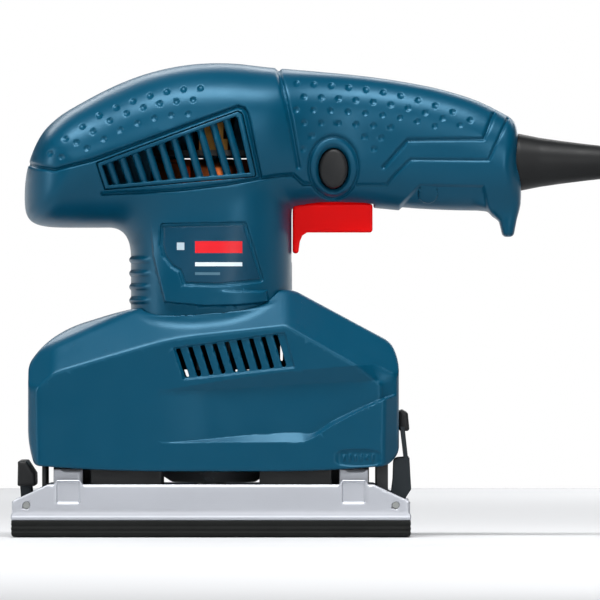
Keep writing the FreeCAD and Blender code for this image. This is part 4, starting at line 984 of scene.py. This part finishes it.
def make_floor():
    """A flat oval of pale paper."""
    verts, faces = [(FLOOR_X, FLOOR_Y, FLOOR_Z)], []
    for i in range(1, RINGS + 1):
        reach = i / RINGS
        for j in range(AROUND):
            angle = 2 * math.pi * j / AROUND
            verts.append((FLOOR_X + reach * FLOOR_HALF_X * math.cos(angle),
                          FLOOR_Y + reach * FLOOR_HALF_Y * math.sin(angle), FLOOR_Z))
    for j in range(AROUND):
        following = (j + 1) % AROUND
        faces.append((0, 1 + j, 1 + following))
        for i in range(RINGS - 1):
            a, b = 1 + i * AROUND, 1 + (i + 1) * AROUND
            faces.append((a + j, b + j, b + following, a + following))
    mesh = bpy.data.meshes.new("studio_floor")
    mesh.from_pydata(verts, [], faces)
    mesh.materials.append(surface("floor_paper", (206, 207, 209), 0.0, 0.8, 0.03, 0.01, 400, 0.05))
    made = bpy.data.objects.new("studio_floor", mesh)
    bpy.context.scene.collection.objects.link(made)
    return made


make_floor()


def area_light(name, place, aim, width, height, power):
    data = bpy.data.lights.new(name, "AREA")
    data.shape = "RECTANGLE"
    data.size, data.size_y = width, height
    data.energy = power
    made = bpy.data.objects.new(name, data)
    bpy.context.scene.collection.objects.link(made)
    made.location = place
    made.rotation_euler = (made.location - Vector(aim)).to_track_quat("Z", "Y").to_euler()


AIM = (0.03, 0.0, 0.13)
area_light("top_light", (-0.05, -0.5, 1.5), AIM, 1.4, 0.5, 36.0)
area_light("key_light", (-0.3, -1.9, 0.95), AIM, 0.9, 0.5, 6.0)
area_light("left_strip", (-1.5, -0.4, 0.5), AIM, 0.12, 0.7, 6.0)
area_light("right_strip", (0.56, -1.45, 0.5), AIM, 0.06, 0.8, 5.0)
area_light("rear_light", (0.6, 1.8, 0.4), AIM, 0.7, 0.4, 3.0)
area_light("floor_light", (0.1, 1.8, 1.2), (0.1, 1.4, 0.0), 2.6, 0.6, 22.0)


def make_world():
    """A white band at the horizon behind the object, and near black everywhere else."""
    world = bpy.data.worlds.new("studio")
    world.use_nodes = True
    tree = world.node_tree
    direction = tree.nodes.new("ShaderNodeTexCoord")
    split = tree.nodes.new("ShaderNodeSeparateXYZ")
    tree.links.new(direction.outputs["Generated"], split.inputs[0])

    def step(value, start, end):
        """0 at start, 1 at end, smooth between them."""
        node = tree.nodes.new("ShaderNodeMapRange")
        node.interpolation_type = "SMOOTHSTEP"
        node.inputs["From Min"].default_value = start
        node.inputs["From Max"].default_value = end
        tree.links.new(value, node.inputs["Value"])
        return node.outputs[0]

    def times(a, b):
        node = tree.nodes.new("ShaderNodeMath")
        node.operation = "MULTIPLY"
        tree.links.new(a, node.inputs[0])
        tree.links.new(b, node.inputs[1])
        return node.outputs[0]

    band = times(step(split.outputs["Z"], -0.2, -0.1), step(split.outputs["Z"], 0.09, 0.05))
    band = times(band, step(split.outputs["Y"], -0.6, -0.25))
    mix = tree.nodes.new("ShaderNodeMix")
    mix.data_type = "RGBA"
    tree.links.new(band, mix.inputs["Factor"])
    mix.inputs[6].default_value = (0.03, 0.033, 0.035, 1.0)
    mix.inputs[7].default_value = (1.0, 1.0, 1.0, 1.0)
    tree.links.new(mix.outputs[2], tree.nodes["Background"].inputs["Color"])
    return world


bpy.context.scene.world = make_world()
bpy.context.scene.view_settings.view_transform = "Standard"

VIEW_X, VIEW_Y, VIEW_Z = 0.0405, -0.044, 0.1078
VIEW_WIDTH, DISTANCE = 0.273, 7.0
SENSOR = 36.0
lens = bpy.data.cameras.new("camera")
lens.sensor_width = SENSOR
lens.lens = SENSOR * DISTANCE / VIEW_WIDTH
camera = bpy.data.objects.new("camera", lens)
bpy.context.scene.collection.objects.link(camera)
camera.location = (VIEW_X, VIEW_Y - DISTANCE, VIEW_Z)
camera.rotation_euler = (math.pi / 2, 0.0, 0.0)
bpy.context.scene.camera = camera
